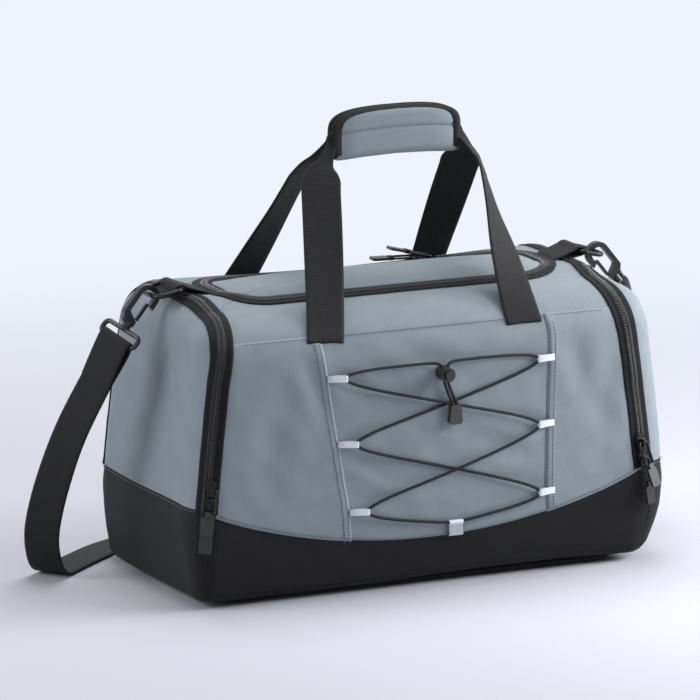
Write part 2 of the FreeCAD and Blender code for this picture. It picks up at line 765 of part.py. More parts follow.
def ring_tab():
    """Two layers of webbing folded round the D-ring's bar and sewn beside the lid zip."""
    bar_x, bar_z, top = -ring_bar_place, size.ring_bar_height, size.bag_height
    bore = wire + size.running_gap
    fold = bore + size.webbing_thickness
    sewn = size.top_half_length - size.tab_sewn_inset
    body = new_body("ring_tab")
    sketch = outline(new_sketch(body, "XZ_Plane"), [
        (-sewn, top), (-sewn, top + 2 * size.webbing_thickness), (-(sewn + 9.0), top + 2 * size.webbing_thickness + 0.8),
        (bar_x + 7.0, bar_z + fold, 3.0), (bar_x - fold, bar_z + fold, 4.5), (bar_x - fold, bar_z - fold, 4.5),
        (bar_x + 6.0, bar_z - fold, 3.0), (-(sewn + 9.5), top)])
    pad(body, sketch, 2 * size.tab_half_width)
    pocket(body, "XZ_Plane", box_corners(bar_x - bore, bar_x + bore, bar_z - bore, bar_z + bore, bore - 0.05),
           3 * size.tab_half_width)
    return body


def hook():
    """Swivel hook in its own frame: Z runs from the swivel to the bowl and the gate is at +X."""
    bowl, deep = size.hook_bowl_radius, size.hook_reach
    outer = bowl + 5.0
    body = new_body("hook")
    sketch = outline(new_sketch(body, "XZ_Plane"), [
        (-5.0, 0.0), (5.0, 0.0), (5.0, 6.0), (-bowl, 12.0, 3.0),
        (-bowl, deep + bowl, bowl - 0.1), (bowl, deep + bowl, bowl - 0.1), (bowl, deep - 6.0),
        (outer, deep - 8.0), (outer, deep + outer, outer - 0.1), (-outer, deep + outer, outer - 0.1),
        (-outer, 8.0, 4.0)])
    pad(body, sketch, size.hook_thickness)
    barrel = body.newObject("PartDesign::Pad", "barrel")
    ring = new_sketch(body, "XY_Plane", as_size(-3.0))
    spot = ring.addGeometry(Part.Circle(Vector(), Vector(0, 0, 1), 4.5), False)
    ring.addConstraint(Sketcher.Constraint("Coincident", spot, 3, -1, 1))
    constrain(ring, "Radius", 4.5, spot)
    barrel.Profile = ring
    bind(barrel, "Length", 5.0)
    return body


def gate():
    """Spring lever that closes the hook's mouth from inside the nose."""
    bowl = size.hook_bowl_radius
    return prism("gate", "XZ_Plane", box_corners(bowl - 3.6, bowl - 0.6, 7.6, size.hook_reach - 5.0, 0.8), 3.2)


def strap_loop():
    """Flat wire loop for the strap: X along its bars, Y towards the hook."""
    half = size.ring_half_width
    loop = wire_loop("strap_loop_wire", [(-half, -17.5, 4.0), (half, -17.5, 4.0), (half, -5.5, 5.0),
                                         (-half, -5.5, 5.0)], wire)
    stem = cylinder("strap_loop_stem", 4.5, 3.4, 0.0, -6.7, 0.0, FreeCAD.Rotation(Vector(1, 0, 0), -90))
    return fuse("strap_loop", loop, stem)


def d_ring():
    """Wire ring whose bar lies on Y and whose bow reaches out along X."""
    half = size.ring_half_width
    return wire_loop("d_ring", [(0.0, -half, 4.0), (ring_depth, -half, 13.0), (ring_depth, half, 13.0),
                                (0.0, half, 4.0)], wire)


swivel = Vector(-swivel_place.value, 0, size.swivel_height.value)
hook_frame = FreeCAD.Placement(FreeCAD.Matrix(shank.z, 0, shank.x, swivel.x, 0, 1, 0, swivel.y,
                                              -shank.x, 0, shank.z, swivel.z, 0, 0, 0, 1))


def loop_placement(side):
    """The strap loop's frame: its bar tips down towards the front, square to the hook's shank."""
    reach_up = Vector(-side * shank.x, 0, shank.z)
    bar = Vector(-side * bar_lean.x, bar_lean.y, bar_lean.z)
    bar = (bar - reach_up * bar.dot(reach_up)).normalize()
    face = bar.cross(reach_up)
    return FreeCAD.Placement(FreeCAD.Matrix(bar.x, reach_up.x, face.x, side * abs(swivel.x),
                                            bar.y, reach_up.y, face.y, swivel.y,
                                            bar.z, reach_up.z, face.z, swivel.z, 0, 0, 0, 1))


ring_way = (ring_pull_point - ring_bar_point).normalize()
ring_up = Vector(ring_way.z, 0, -ring_way.x)
ring_frame = FreeCAD.Placement(FreeCAD.Matrix(ring_way.x, 0, ring_up.x, ring_bar_point.x, 0, -1, 0, 0,
                                              ring_way.z, 0, ring_up.z, ring_bar_point.z, 0, 0, 0, 1))
gate_pivot = Vector(size.hook_bowl_radius.value - 2.0, 0, 9.0)
for end_name, side, turn in (("left", -1, FreeCAD.Rotation()), ("right", 1, half_turn)):
    spin = FreeCAD.Placement(Vector(), turn)
    nodes[f"strap_loop_{end_name}"] = strap_loop()
    nodes[f"strap_loop_{end_name}"].Label = f"strap_loop_{end_name}"
    nodes[f"strap_loop_{end_name}"].Placement = loop_placement(side)
    for kind, build, frame in (("ring_tab", ring_tab, FreeCAD.Placement()), ("d_ring", d_ring, ring_frame),
                               ("hook", hook, hook_frame), ("gate", gate, hook_frame)):
        piece = build()
        piece.Label = f"{kind}_{end_name}"
        piece.Placement = spin.multiply(frame)
        nodes[piece.Label] = piece
    joints[f"d_ring_{end_name}"] = (turn.multVec(ring_bar_point), turn.multVec(Vector(0, 1, 0)))
    joints[f"hook_{end_name}"] = (turn.multVec(swivel), turn.multVec(shank))
    joints[f"gate_{end_name}"] = (turn.multVec(hook_frame.multVec(gate_pivot)), turn.multVec(Vector(0, 1, 0)))


# ---- Shoulder strap, hooked on at both ends and lying on the floor behind the bag ----

loop_bar = loop_placement(-1).multVec(Vector(0, -17.5, 0))
strap_start = loop_bar + Vector(-1.4, 0.9, -3.7)
strap_route = [
    # x, y, height and the direction across the webbing, from the left loop round to the right one
    (strap_start.x, strap_start.y, strap_start.z, (0.36, -0.87, -0.33)),
    (-288, 12, 198, (0.38, -0.87, -0.3)),
    (-308, 27, 147, (0.45, -0.85, -0.25)),
    (-321, 43, 92, (0.55, -0.8, -0.15)),
    (-326, 54, 48, (0.62, -0.78, -0.05)),
    (-320, 62, 18, (0.65, -0.76, 0.0)),
    (-308, 72, 4, (0.66, -0.75, 0.0)),
    (-290, 88, 1, (0.66, -0.75, 0.0)),
    (-252, 120, 1, (0.66, -0.75, 0.0)),
    (-213, 148, 1, (0.5, -0.86, 0.0)),
    (-160, 168, 1, (0.2, -0.98, 0.0)),
    (-60, 176, 1, (0.0, -1.0, 0.0)),
    (60, 176, 1, (0.0, -1.0, 0.0)),
    (150, 170, 1, (-0.2, -0.98, 0.0)),
    (204, 150, 1, (-0.5, -0.86, 0.0)),
    (238, 124, 3, (-0.6, -0.8, 0.0)),
    (256, 104, 20, (-0.6, -0.8, 0.0)),
    (268, 86, 50, (-0.58, -0.81, -0.05)),
    (278, 60, 100, (-0.5, -0.83, -0.15)),
    (284, 36, 150, (-0.44, -0.85, -0.22)),
    (282, 14, 200, (-0.38, -0.87, -0.3)),
    (-strap_start.x, strap_start.y, strap_start.z, (-0.36, -0.87, -0.33)),
]


def shoulder_strap():
    sections = []
    for x, y, height, across in strap_route:
        sections.append((Vector(x, y, height), Vector(across), size.strap_width.value))
    return feature("shoulder_strap", ribbon(sections, size.webbing_thickness.value))


nodes["shoulder_strap"] = shoulder_strap()


# ---- Elastic cord, the loops that guide it, its lock and its end ----

loop_fold = size.cord_radius + size.webbing_thickness
cord_bore = size.cord_radius + 2 * size.running_gap
loop_heights = (size.loop_top, size.loop_middle, size.loop_low)


def seam_place(side, height):
    """Where the pocket's side seam is at a height."""
    if side > 0:
        return size.pocket_right
    slant = (size.pocket_left_top - size.pocket_left_bottom) / (size.yoke_height - size.pocket_bottom)
    return -(size.pocket_left_bottom + slant * (height - size.pocket_bottom))


def front_skin(height):
    """The front panel's face between the belly and the rounded top edge."""
    if height.value >= size.belly_height.value:
        return -side_place(height)
    slope = (size.belly_half_width - size.base_half_width) / size.belly_height
    return -(size.base_half_width + slope * height)


def cord_loop(label, side, height):
    """A ribbon folded round the cord and sewn flat into the pocket's side seam."""
    seam = seam_place(side, height)
    skin = front_skin(height) - size.seam_gap
    hole_x = seam - side * size.loop_reach
    half = size.cord_loop_height / 2
    ends = (seam, hole_x) if side < 0 else (hole_x, seam)
    flat = box(f"{label}_flat", (ends[0], skin - size.webbing_thickness, height - half),
               (ends[1], skin, height + half))
    fold = cylinder(f"{label}_fold", loop_fold, size.cord_loop_height, hole_x, skin - loop_fold, height - half)
    bore = cylinder(f"{label}_bore", cord_bore, 3 * size.cord_loop_height, hole_x, skin - loop_fold,
                    height - 3 * half)
    return cut(label, fuse(f"{label}_whole", flat, fold), bore), Vector(
        hole_x.value, (skin - loop_fold).value, height.value)


def hem_loop():
    """The loop at the pocket's foot, whose bore lies along X."""
    level = FreeCAD.Rotation(Vector(0, 1, 0), 90)
    place_x, height, half = size.hem_loop_place, size.hem_loop_height, as_size(4.0)
    skin = front_skin(height) - size.seam_gap
    flat = box("hem_loop_flat", (place_x - half, skin - size.webbing_thickness, height - 12.0),
               (place_x + half, skin, height))
    fold = cylinder("hem_loop_fold", loop_fold, 2 * half, place_x - half, skin - loop_fold, height, level)
    bore = cylinder("hem_loop_bore", cord_bore, 6 * half, place_x - 3 * half, skin - loop_fold, height, level)
    return cut("hem_loop", fuse("hem_loop_whole", flat, fold), bore), Vector(
        place_x.value, (skin - loop_fold).value, height.value)


loops, bores = [], {}
for side_name, side in (("left", -1), ("right", 1)):
    for level_name, height in zip(("top", "middle", "low"), loop_heights):
        piece, bores[side_name, level_name] = cord_loop(f"cord_loop_{side_name}_{level_name}", side, height)
        loops.append(piece)
piece, bores["hem"] = hem_loop()
loops.append(piece)
nodes["cord_loops"] = document.addObject("Part::Compound", "cord_loops")
nodes["cord_loops"].Label = "cord_loops"
nodes["cord_loops"].Links = loops

# The lock is a barrel on its side, pressed from the front, with both strands through it.
lock_front = front_skin(size.lock_height) - size.running_gap - size.lock_length
strand_depth = lock_front + size.lock_length - 6.5
strand_gap = size.cord_radius + 0.25
facing = FreeCAD.Rotation(Vector(1, 0, 0), -90)
barrel = cylinder("lock_barrel", size.lock_radius, size.lock_length, size.lock_place, lock_front,
                  size.lock_height, facing)
plunger_end = strand_depth - size.cord_radius - 1.4
plunger_bore = cylinder("plunger_bore", size.plunger_radius + size.running_gap, plunger_end - lock_front + 5.0,
                        size.lock_place, lock_front - 5.0, size.lock_height, facing)
slot_room = 0.8
slot_half = strand_gap + size.cord_radius + slot_room
cord_slot = box("cord_slot", (size.lock_place - slot_half, strand_depth - size.cord_radius - slot_room,
                              size.lock_height - 2 * size.lock_radius),
                (size.lock_place + slot_half, strand_depth + size.cord_radius + slot_room,
                 size.lock_height + 2 * size.lock_radius))
nodes["cord_lock"] = cut("cord_lock", cut("lock_bored", barrel, plunger_bore), cord_slot)
plunger_long = plunger_end - size.running_gap - size.plunger_travel - lock_front + 4.0
nodes["cord_lock_plunger"] = cylinder("cord_lock_plunger", size.plunger_radius, plunger_long, size.lock_place,
                                      lock_front - 4.0, size.lock_height, facing)

nodes["cord_end"] = prism("cord_end", "XZ_Plane", [(-7.0, -19.0, 3.0), (7.0, -19.0, 3.0), (5.0, 0.0, 1.5),
                                                   (-5.0, 0.0, 1.5)], 6.0)
place(nodes["cord_end"], size.cord_end_place, strand_depth, size.cord_end_height)


def crossing(depth, height, across):
    """A point where two strands cross, one resting on the cloth and one over it."""
    return Vector(across.value, front_skin(height).value - size.cord_radius.value - depth, height.value)


upper_crossing = (size.upper_crossing_height, size.upper_crossing_place)
lower_crossing = (size.lower_crossing_height, size.lower_crossing_place)


def above(bore):
    return bore + Vector(0, 0, 6.0)


def below(bore):
    return bore - Vector(0, 0, 6.0)


depth, lock_x, lock_z = strand_depth.value, size.lock_place.value, size.lock_height.value
spread = strand_gap.value
end_x, end_z = size.cord_end_place.value, size.cord_end_height.value
cord_route = [
    Vector(end_x - 2.2, depth, end_z),
    Vector(lock_x - spread, depth, lock_z - 9.0),
    Vector(lock_x - spread, depth, lock_z + 9.0),
    Vector(lock_x - 14.0, depth + 2.0, lock_z + 11.5),
    above(bores["left", "top"]), below(bores["left", "top"]),
    crossing(4.2, *upper_crossing),
    above(bores["right", "middle"]), below(bores["right", "middle"]),
    crossing(4.2, *lower_crossing),
    above(bores["left", "low"]), below(bores["left", "low"]),
    bores["hem"] - Vector(12.0, 0, 0), bores["hem"] + Vector(12.0, 0, 0.5),
    below(bores["right", "low"]), above(bores["right", "low"]),
    crossing(0.3, *lower_crossing),
    below(bores["left", "middle"]), above(bores["left", "middle"]),
    crossing(0.3, *upper_crossing),
    below(bores["right", "top"]), above(bores["right", "top"]),
    Vector(lock_x + 14.0, depth + 2.0, lock_z + 12.0),
    Vector(lock_x + spread, depth, lock_z + 9.0),
    Vector(lock_x + spread, depth, lock_z - 9.0),
    Vector(end_x + 2.2, depth, end_z),
]


def cord_wire(route):
    """Straight runs joined by tangent arcs, each as large as its two runs allow."""
    edges, radii, start = [], [], route[0]
    for before, corner, after in zip(route, route[1:], route[2:]):
        back, onward = (before - corner), (after - corner)
        half = back.getAngle(onward) / 2
        reach_here = 0.45 * min(back.Length, onward.Length)
        first = corner + back.normalize() * reach_here
        last = corner + onward.normalize() * reach_here
        radius = reach_here * math.tan(half)
        middle = corner + (back + onward).normalize() * (radius / math.sin(half) - radius)
        edges.append(Part.LineSegment(start, first).toShape())
        edges.append(Part.Arc(first, middle, last).toShape())
        radii.append(round(radius, 1))
        start = last
    edges.append(Part.LineSegment(start, route[-1]).toShape())
    print("cord radii", radii)
    return Part.Wire(edges)


cord_path = cord_wire(cord_route)
cord_start = Part.Circle(cord_route[0], cord_route[1] - cord_route[0], size.cord_radius.value).toShape()
cord_shape = cord_path.makePipeShell([Part.Wire([cord_start])], True, True)
nodes["elastic_cord"] = feature("elastic_cord", cord_shape)
cord_area = math.pi * size.cord_radius.value ** 2
print("cord length", round(cord_path.Length, 1), "volume ratio", cord_shape.Volume / (cord_area * cord_path.Length))


# ---- Write every sub-part ----

document.recompute()
for item in document.Objects:
    if "Invalid" in item.State or "Error" in item.State:
        raise RuntimeError(f"{item.Name} failed: {item.State}")
os.makedirs("parts", exist_ok=True)
for node, piece in nodes.items():
    shape = piece.Shape
    if shape.isNull() or not shape.isValid():
        raise RuntimeError(f"{node} has no valid shape")
    shape.exportStep(f"parts/{node}.step")
    print(f"{node:22s} {shape.Volume / 1000:9.2f} cm3  solids {len(shape.Solids)}")
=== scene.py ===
import math
import bpy
import numpy as np
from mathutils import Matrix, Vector


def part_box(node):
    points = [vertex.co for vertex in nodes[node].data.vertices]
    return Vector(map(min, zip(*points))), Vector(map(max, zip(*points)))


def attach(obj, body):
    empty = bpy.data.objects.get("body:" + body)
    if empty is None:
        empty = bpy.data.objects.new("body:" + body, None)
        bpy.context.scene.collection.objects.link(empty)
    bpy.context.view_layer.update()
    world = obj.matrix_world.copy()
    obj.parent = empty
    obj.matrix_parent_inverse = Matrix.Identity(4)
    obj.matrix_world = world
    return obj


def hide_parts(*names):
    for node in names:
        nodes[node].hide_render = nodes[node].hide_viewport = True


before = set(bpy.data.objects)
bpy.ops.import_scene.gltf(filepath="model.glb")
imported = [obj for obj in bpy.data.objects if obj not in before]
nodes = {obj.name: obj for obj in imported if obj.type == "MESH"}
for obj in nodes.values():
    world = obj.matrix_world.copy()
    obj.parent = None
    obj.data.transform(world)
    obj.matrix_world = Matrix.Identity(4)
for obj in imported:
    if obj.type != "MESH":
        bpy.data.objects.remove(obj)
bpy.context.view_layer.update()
mm = 0.001
print("frame loaded:", len(nodes), "CAD nodes")


# colours, nodes and materials

def toLinear(hexColour):
    # sRGB byte to linear light: c/12.92 below 0.04045, otherwise ((c+0.055)/1.055)^2.4
    c = np.array([int(hexColour[i:i + 2], 16) for i in (1, 3, 5)]) / 255
    c = np.where(c <= 0.04045, c / 12.92, ((c + 0.055) / 1.055) ** 2.4)
    return (*c.tolist(), 1.0)


def addNode(tree, kind, inputs=None, **settings):
    # adds one node: inputs are values or other nodes' outputs; settings are the node's own, or an input's by name
    n = tree.nodes.new(kind)
    for key, value in settings.items():
        if hasattr(n, key) and key not in ("color", "width"):
            setattr(n, key, value)
        else:
            n.inputs[key.replace("_", " ")].default_value = value
    for socket, source in (inputs or {}).items():
        if isinstance(source, bpy.types.NodeSocket):
            tree.links.new(source, n.inputs[socket])
        else:
            n.inputs[socket].default_value = source
    return n


def newMaterial(name, colour, roughness, **shader):
    m = bpy.data.materials.new(name)
    m.use_nodes = True
    bsdf = m.node_tree.nodes["Principled BSDF"]
    bsdf.inputs["Base Color"].default_value = toLinear(colour)
    bsdf.inputs["Roughness"].default_value = roughness
    for key, value in shader.items():
        bsdf.inputs[key.replace("_", " ")].default_value = value
    return m, m.node_tree, bsdf


def threadBands(tree, coords, **periods):
    # a set of bands for each direction: they repeat every 2*pi/20 of a unit at scale 1, twice that on the diagonal
    return [addNode(tree, "ShaderNodeTexWave", {"Vector": coords}, bands_direction=way,
                    Scale=math.pi / (5 if way == "DIAGONAL" else 10) / period).outputs["Fac"]
            for way, period in periods.items()]


def showPattern(tree, bsdf, height, strength, distance, shades=None):
    # a pattern as bump and, where shades gives a factor and two colours, as colour between them
    bump = addNode(tree, "ShaderNodeBump", {"Height": height}, Strength=strength, Distance=distance)
    tree.links.new(bump.outputs["Normal"], bsdf.inputs["Normal"])
    if shades:
        factor, darker, lighter = shades
        mix = addNode(tree, "ShaderNodeMix", {0: factor}, data_type="RGBA")
        mix.inputs[6].default_value, mix.inputs[7].default_value = toLinear(darker), toLinear(lighter)
        tree.links.new(mix.outputs[2], bsdf.inputs["Base Color"])


def wovenCloth(name, colour, darker, lighter, thread, roughness, sheen, bump):
    # woven polyester: two sets of threads a thread apart, in soft uneven shades of one dye
    m, tree, bsdf = newMaterial(name, colour, roughness, Sheen_Weight=sheen, Sheen_Roughness=0.5,
                                Specular_IOR_Level=0.18)
    uv = addNode(tree, "ShaderNodeTexCoord").outputs["UV"]
    warp, weft, twill = threadBands(tree, uv, X=thread, Y=thread * 1.05, DIAGONAL=thread * 2.4)
    crossings = addNode(tree, "ShaderNodeMath", {0: warp, 1: weft}, operation="MULTIPLY").outputs[0]
    weave = addNode(tree, "ShaderNodeMath", {0: twill, 1: 0.7, 2: crossings}, operation="MULTIPLY_ADD").outputs[0]
    shade = addNode(tree, "ShaderNodeTexNoise", {"Vector": uv}, Scale=38.0, Detail=6.0, Roughness=0.6).outputs["Fac"]
    uneven = addNode(tree, "ShaderNodeMath", {0: shade, 1: 0.75}, operation="MULTIPLY").outputs[0]
    fleck = addNode(tree, "ShaderNodeMath", {0: weave, 1: 0.22, 2: uneven}, operation="MULTIPLY_ADD").outputs[0]
    showPattern(tree, bsdf, weave, bump, 0.0004, (fleck, darker, lighter))
    return m


def ribbedWebbing(name, darker, lighter, rib, roughness):
    # heavy polypropylene webbing: a rib across for every weft thread, with fine warp lines along it
    m, tree, bsdf = newMaterial(name, lighter, roughness, Sheen_Weight=0.03, Sheen_Roughness=0.4, Specular_IOR_Level=0.2)
    uv = addNode(tree, "ShaderNodeTexCoord").outputs["UV"]
    across, along = threadBands(tree, uv, Y=rib, X=rib * 1.25)
    worn = addNode(tree, "ShaderNodeTexNoise", {"Vector": uv}, Scale=70.0, Detail=4.0).outputs["Fac"]
    lines = addNode(tree, "ShaderNodeMath", {0: along, 1: 0.25}, operation="MULTIPLY").outputs[0]
    weave = addNode(tree, "ShaderNodeMath", {0: across, 1: 0.75, 2: lines}, operation="MULTIPLY_ADD").outputs[0]
    both = addNode(tree, "ShaderNodeMath", {0: weave, 1: worn}, operation="ADD").outputs[0]
    shade = addNode(tree, "ShaderNodeMath", {0: both, 1: 0.5}, operation="MULTIPLY").outputs[0]
    showPattern(tree, bsdf, weave, 0.55, 0.0005, (shade, darker, lighter))
    return m


def smoothShell(name, colour, roughness, peelDepth=0.08, peelScale=1200.0, **shader):
    # moulded plastic or painted metal: smooth, with the mould's or the paint's faint orange peel
    m, tree, bsdf = newMaterial(name, colour, roughness, **shader)
    place = addNode(tree, "ShaderNodeTexCoord").outputs["Object"]
    peel = addNode(tree, "ShaderNodeTexNoise", {"Vector": place}, Scale=peelScale).outputs["Fac"]
    showPattern(tree, bsdf, peel, peelDepth, 0.0002)
    return m


greyTwill = wovenCloth("greyPolyesterTwill", "#89939a", "#7c868d", "#96a0a7", 0.0013, 0.66, 0.06, 0.22)
blackOxford = wovenCloth("blackPolyesterOxford", "#17171a", "#101012", "#1f1f22", 0.0015, 0.7, 0.04, 0.3)
blackLining = wovenCloth("blackNylonLining", "#1b1b1d", "#151517", "#232326", 0.0012, 0.5, 0.1, 0.15)
zipTape = wovenCloth("blackPolyesterZipTape", "#0e0e10", "#0a0a0b", "#151517", 0.0011, 0.7, 0.03, 0.35)
bindingTape = ribbedWebbing("blackGrosgrainBinding", "#0d0d0e", "#1b1b1d", 0.0012, 0.62)
webbing = ribbedWebbing("blackRibbedWebbing", "#0a0a0b", "#272729", 0.0018, 0.66)
coilPlastic = smoothShell("blackPolyesterZipCoil", "#202022", 0.18)
hookPlastic = smoothShell("blackAcetalHook", "#141415", 0.26)
pullPlastic = smoothShell("blackSoftPvcPull", "#1a1a1b", 0.38, 0.18)
ringMetal = smoothShell("blackPaintedZincSlider", "#1c1c1e", 0.28, 0.1, 900.0, Metallic=0.6)
lockPlastic = smoothShell("darkGreyNylonCordLock", "#2b2a29", 0.34)
endPlastic = smoothShell("greyBrownPvcCordEnd", "#3a3835", 0.4, 0.13)
threadDark = newMaterial("darkGreyPolyesterThread", "#59616a", 0.6)[0]
threadBlack = newMaterial("blackPolyesterThread", "#0f0f10", 0.5)[0]
boardFelt = wovenCloth("blackCoveredBaseBoard", "#1d1d1f", "#161618", "#252528", 0.002, 0.8, 0.1, 0.2)

reflective, reflectTree, reflectShader = newMaterial("silverGlassBeadReflectiveTape", "#e4e7ec", 0.34, Metallic=0.15)
beads = addNode(reflectTree, "ShaderNodeTexVoronoi", {
    "Vector": addNode(reflectTree, "ShaderNodeTexCoord").outputs["Object"]}, Scale=2200.0).outputs["Distance"]
showPattern(reflectTree, reflectShader, beads, 0.12, 0.0002)   # glass beads under 0.1 mm, drawn at 0.45 mm to show

cordCover, cordTree, cordShader = newMaterial("blackBraidedElasticCover", "#121213", 0.6, Sheen_Weight=0.05,
                                               Specular_IOR_Level=0.25)
cordUv = addNode(cordTree, "ShaderNodeTexCoord").outputs["UV"]
mirrored = addNode(cordTree, "ShaderNodeMapping", {"Vector": cordUv}, Scale=(-1, 1, 1)).outputs[0]
yarns = [threadBands(cordTree, way, DIAGONAL=0.0021)[0] for way in (cordUv, mirrored)]      # one set wound each way
braid = addNode(cordTree, "ShaderNodeMath", dict(enumerate(yarns)), operation="MAXIMUM").outputs[0]
showPattern(cordTree, cordShader, braid, 0.5, 0.0005, (braid, "#08080a", "#1e1e20"))
print("materials made")


# meshes

def makeMesh(name, points, faces, material, uv=None):
    # points in millimetres, faces as rows of four corners, uv in metres for every point
    mesh = bpy.data.meshes.new(name)
    mesh.from_pydata((np.asarray(points, float) * mm).tolist(), [], np.asarray(faces).tolist())
    if uv is not None:
        corner = np.empty(len(mesh.loops), np.int32)
        mesh.loops.foreach_get("vertex_index", corner)
        layer = mesh.uv_layers.new(name="cloth")
        layer.data.foreach_set("uv", (np.asarray(uv, float)[corner] * mm).astype(np.float32).ravel())
    mesh.materials.append(material)
    mesh.polygons.foreach_set("use_smooth", np.ones(len(mesh.polygons), bool))
    mesh.update()
    obj = bpy.data.objects.new(name, mesh)
    bpy.context.scene.collection.objects.link(obj)
    return obj


def gridFaces(rows, columns, aroundRows=False, aroundColumns=False, flip=False):
    # corners of every cell of a grid of points, wrapping where a direction closes on itself
    r = np.arange(rows if aroundRows else rows - 1)
    c = np.arange(columns if aroundColumns else columns - 1)
    r, c = [g.ravel() for g in np.meshgrid(r, c, indexing="ij")]
    r2, c2 = (r + 1) % rows, (c + 1) % columns
    f = np.stack([r * columns + c, r * columns + c2, r2 * columns + c2, r2 * columns + c], 1)
    return f[:, ::-1] if flip else f


def gridPiece(name, points, material, uv=None, **wrap):
    rows, columns = points.shape[:2]
    if uv is None:      # lengths along the grid's middle row and column
        across = np.linalg.norm(np.diff(points, axis=1), axis=2)
        down = np.linalg.norm(np.diff(points, axis=0), axis=2)
        u = np.concatenate([np.zeros((rows, 1)), np.cumsum(across, 1)], 1)
        v = np.concatenate([np.zeros((1, columns)), np.cumsum(down, 0)], 0)
        uv = np.stack([u, v], 2)
    return makeMesh(name, points.reshape(-1, 3), gridFaces(rows, columns, **wrap), material, uv.reshape(-1, 2))


def joinPieces(name, pieces):
    bpy.ops.object.select_all(action="DESELECT")
    for p in pieces:
        p.select_set(True)
    bpy.context.view_layer.objects.active = pieces[0]
    bpy.ops.object.join()
    pieces[0].name = name
    pieces[0].data.name = name
    return pieces[0]


def applyModifiers(obj):
    bpy.context.view_layer.update()
    done = bpy.data.meshes.new_from_object(obj.evaluated_get(bpy.context.evaluated_depsgraph_get()))
    obj.modifiers.clear()
    obj.data = done
    done.name = obj.name
    return obj


def thicken(obj, thickness, offset=-1.0):
    # gives a cloth surface its thickness, inwards from the face, or to both sides of it with offset 0
    m = obj.modifiers.new("thickness", "SOLIDIFY")
    m.thickness, m.offset, m.use_even_offset = thickness * mm, offset, False
    return applyModifiers(obj)


def unit(v):
    # each vector over its own length
    return v / np.maximum(np.linalg.norm(v, axis=-1, keepdims=True), 1e-9)


def scatter(name, template, faces, origin, xWay, yWay, zWay, material):
    # a small shape repeated: each of its points is origin + x*xWay + y*yWay + z*zWay
    p = (origin[:, None] + template[None, :, :1] * xWay[:, None] + template[None, :, 1:2] * yWay[:, None]
         + template[None, :, 2:] * zWay[:, None])
    f = faces[None] + (np.arange(len(origin)) * len(template))[:, None, None]
    uv = np.tile(template[:, :2], (len(origin), 1))
    return makeMesh(name, p.reshape(-1, 3), f.reshape(-1, 4), material, uv)


def capsule(length, radius):
    # six-sided rings of a rod along x: the radius follows a half circle at both ends
    sides = 6
    x = np.array([-0.5, -0.42, -0.2, 0.2, 0.42, 0.5]) * length
    r = np.array([0.25, 0.8, 1.0, 1.0, 0.8, 0.25]) * radius
    t = np.arange(sides) * 2 * np.pi / sides
    p = np.stack([np.repeat(x, sides), (r[:, None] * np.cos(t)).ravel(), (r[:, None] * np.sin(t)).ravel()], 1)
    f = gridFaces(len(x), sides, aroundColumns=True)
    return p, np.concatenate([f, [[0, 1, 2, 3], [0, 3, 4, 5]]])


def runningLength(points):
    # the sum of the steps up to each point of a broken line
    return np.concatenate([[0], np.cumsum(np.linalg.norm(np.diff(points, axis=0), axis=1))])


def resample(points, step):
    # evenly spaced points along a broken line, by its running length
    points = np.asarray(points, float)
    run = runningLength(points)
    count = max(int(round(run[-1] / step)), 2) + 1
    at = np.linspace(0, run[-1], count)
    return np.stack([np.interp(at, run, points[:, i]) for i in range(points.shape[1])], 1)


def smoothThrough(knots, perSpan):
    # Catmull-Rom spline through rows of numbers: the tangent at a knot is half the step across it
    k = np.asarray(knots, float)
    k = np.concatenate([[2 * k[0] - k[1]], k, [2 * k[-1] - k[-2]]])
    t = np.linspace(0, 1, perSpan, endpoint=False)[:, None, None]
    a, b, c, d = [k[i:len(k) - 3 + i][None] for i in range(4)]
    p = 0.5 * (2 * b + (c - a) * t + (2 * a - 5 * b + 4 * c - d) * t ** 2 + (3 * b - a - 3 * c + d) * t ** 3)
    p = p.transpose(1, 0, 2).reshape(-1, k.shape[1])
    return np.concatenate([p, k[-2:-1]])


# camera, floor and light

view = {
    "azimuth": -25.0, "elevation": 12.5,     # degrees
    "distance": 6500.0, "focalLength": 344.98286, "sensorWidth": 36.0,       # mm
    "across": -24.2, "up": 202.0,            # mm, what the camera looks at, from the origin
}

az, el = math.radians(view["azimuth"]), math.radians(view["elevation"])
rightWay = np.array([math.cos(az), math.sin(az), 0.0])
backWay = np.array([math.sin(az) * math.cos(el), -math.cos(az) * math.cos(el), math.sin(el)])
upWay = np.cross(backWay, rightWay)
target = rightWay * view["across"] + upWay * view["up"]
lens = bpy.data.cameras.new("camera")
lens.sensor_width, lens.lens = view["sensorWidth"], view["focalLength"]
lens.clip_end = 50.0
camera = bpy.data.objects.new("camera", lens)
bpy.context.scene.collection.objects.link(camera)
camera.location = (target + backWay * view["distance"]) * mm
camera.rotation_euler = Vector((-backWay).tolist()).to_track_quat("-Z", "Y").to_euler()
bpy.context.scene.camera = camera
bpy.context.scene.view_settings.view_transform = "Standard"

light = {
    "key": ((0.62, -0.55, 0.56), (0.14, 0.0, 0.12), 0.3, 3.4),      # place, aim and size in metres, power in watts
    "side": ((1.6, -0.35, 0.75), (0.1, 0.0, 0.15), 0.6, 22.0),
    "top": ((0.15, 0.5, 2.4), (0.0, 0.0, 0.1), 1.5, 33.0),
    "left": ((-1.9, 0.35, 1.0), (-0.2, 0.0, 0.15), 1.0, 15.0),
    "world": 0.28, "backdrop": "#eff3fc",
}
for name in ("key", "side", "top", "left"):
    place, aim, size, power = light[name]
    lamp = bpy.data.lights.new(name, "AREA")
    lamp.shape, lamp.size, lamp.energy = "SQUARE", size, power
    lampObject = bpy.data.objects.new(name, lamp)
    bpy.context.scene.collection.objects.link(lampObject)
    lampObject.location = place
    lampObject.rotation_euler = (Vector(aim) - Vector(place)).to_track_quat("-Z", "Y").to_euler()

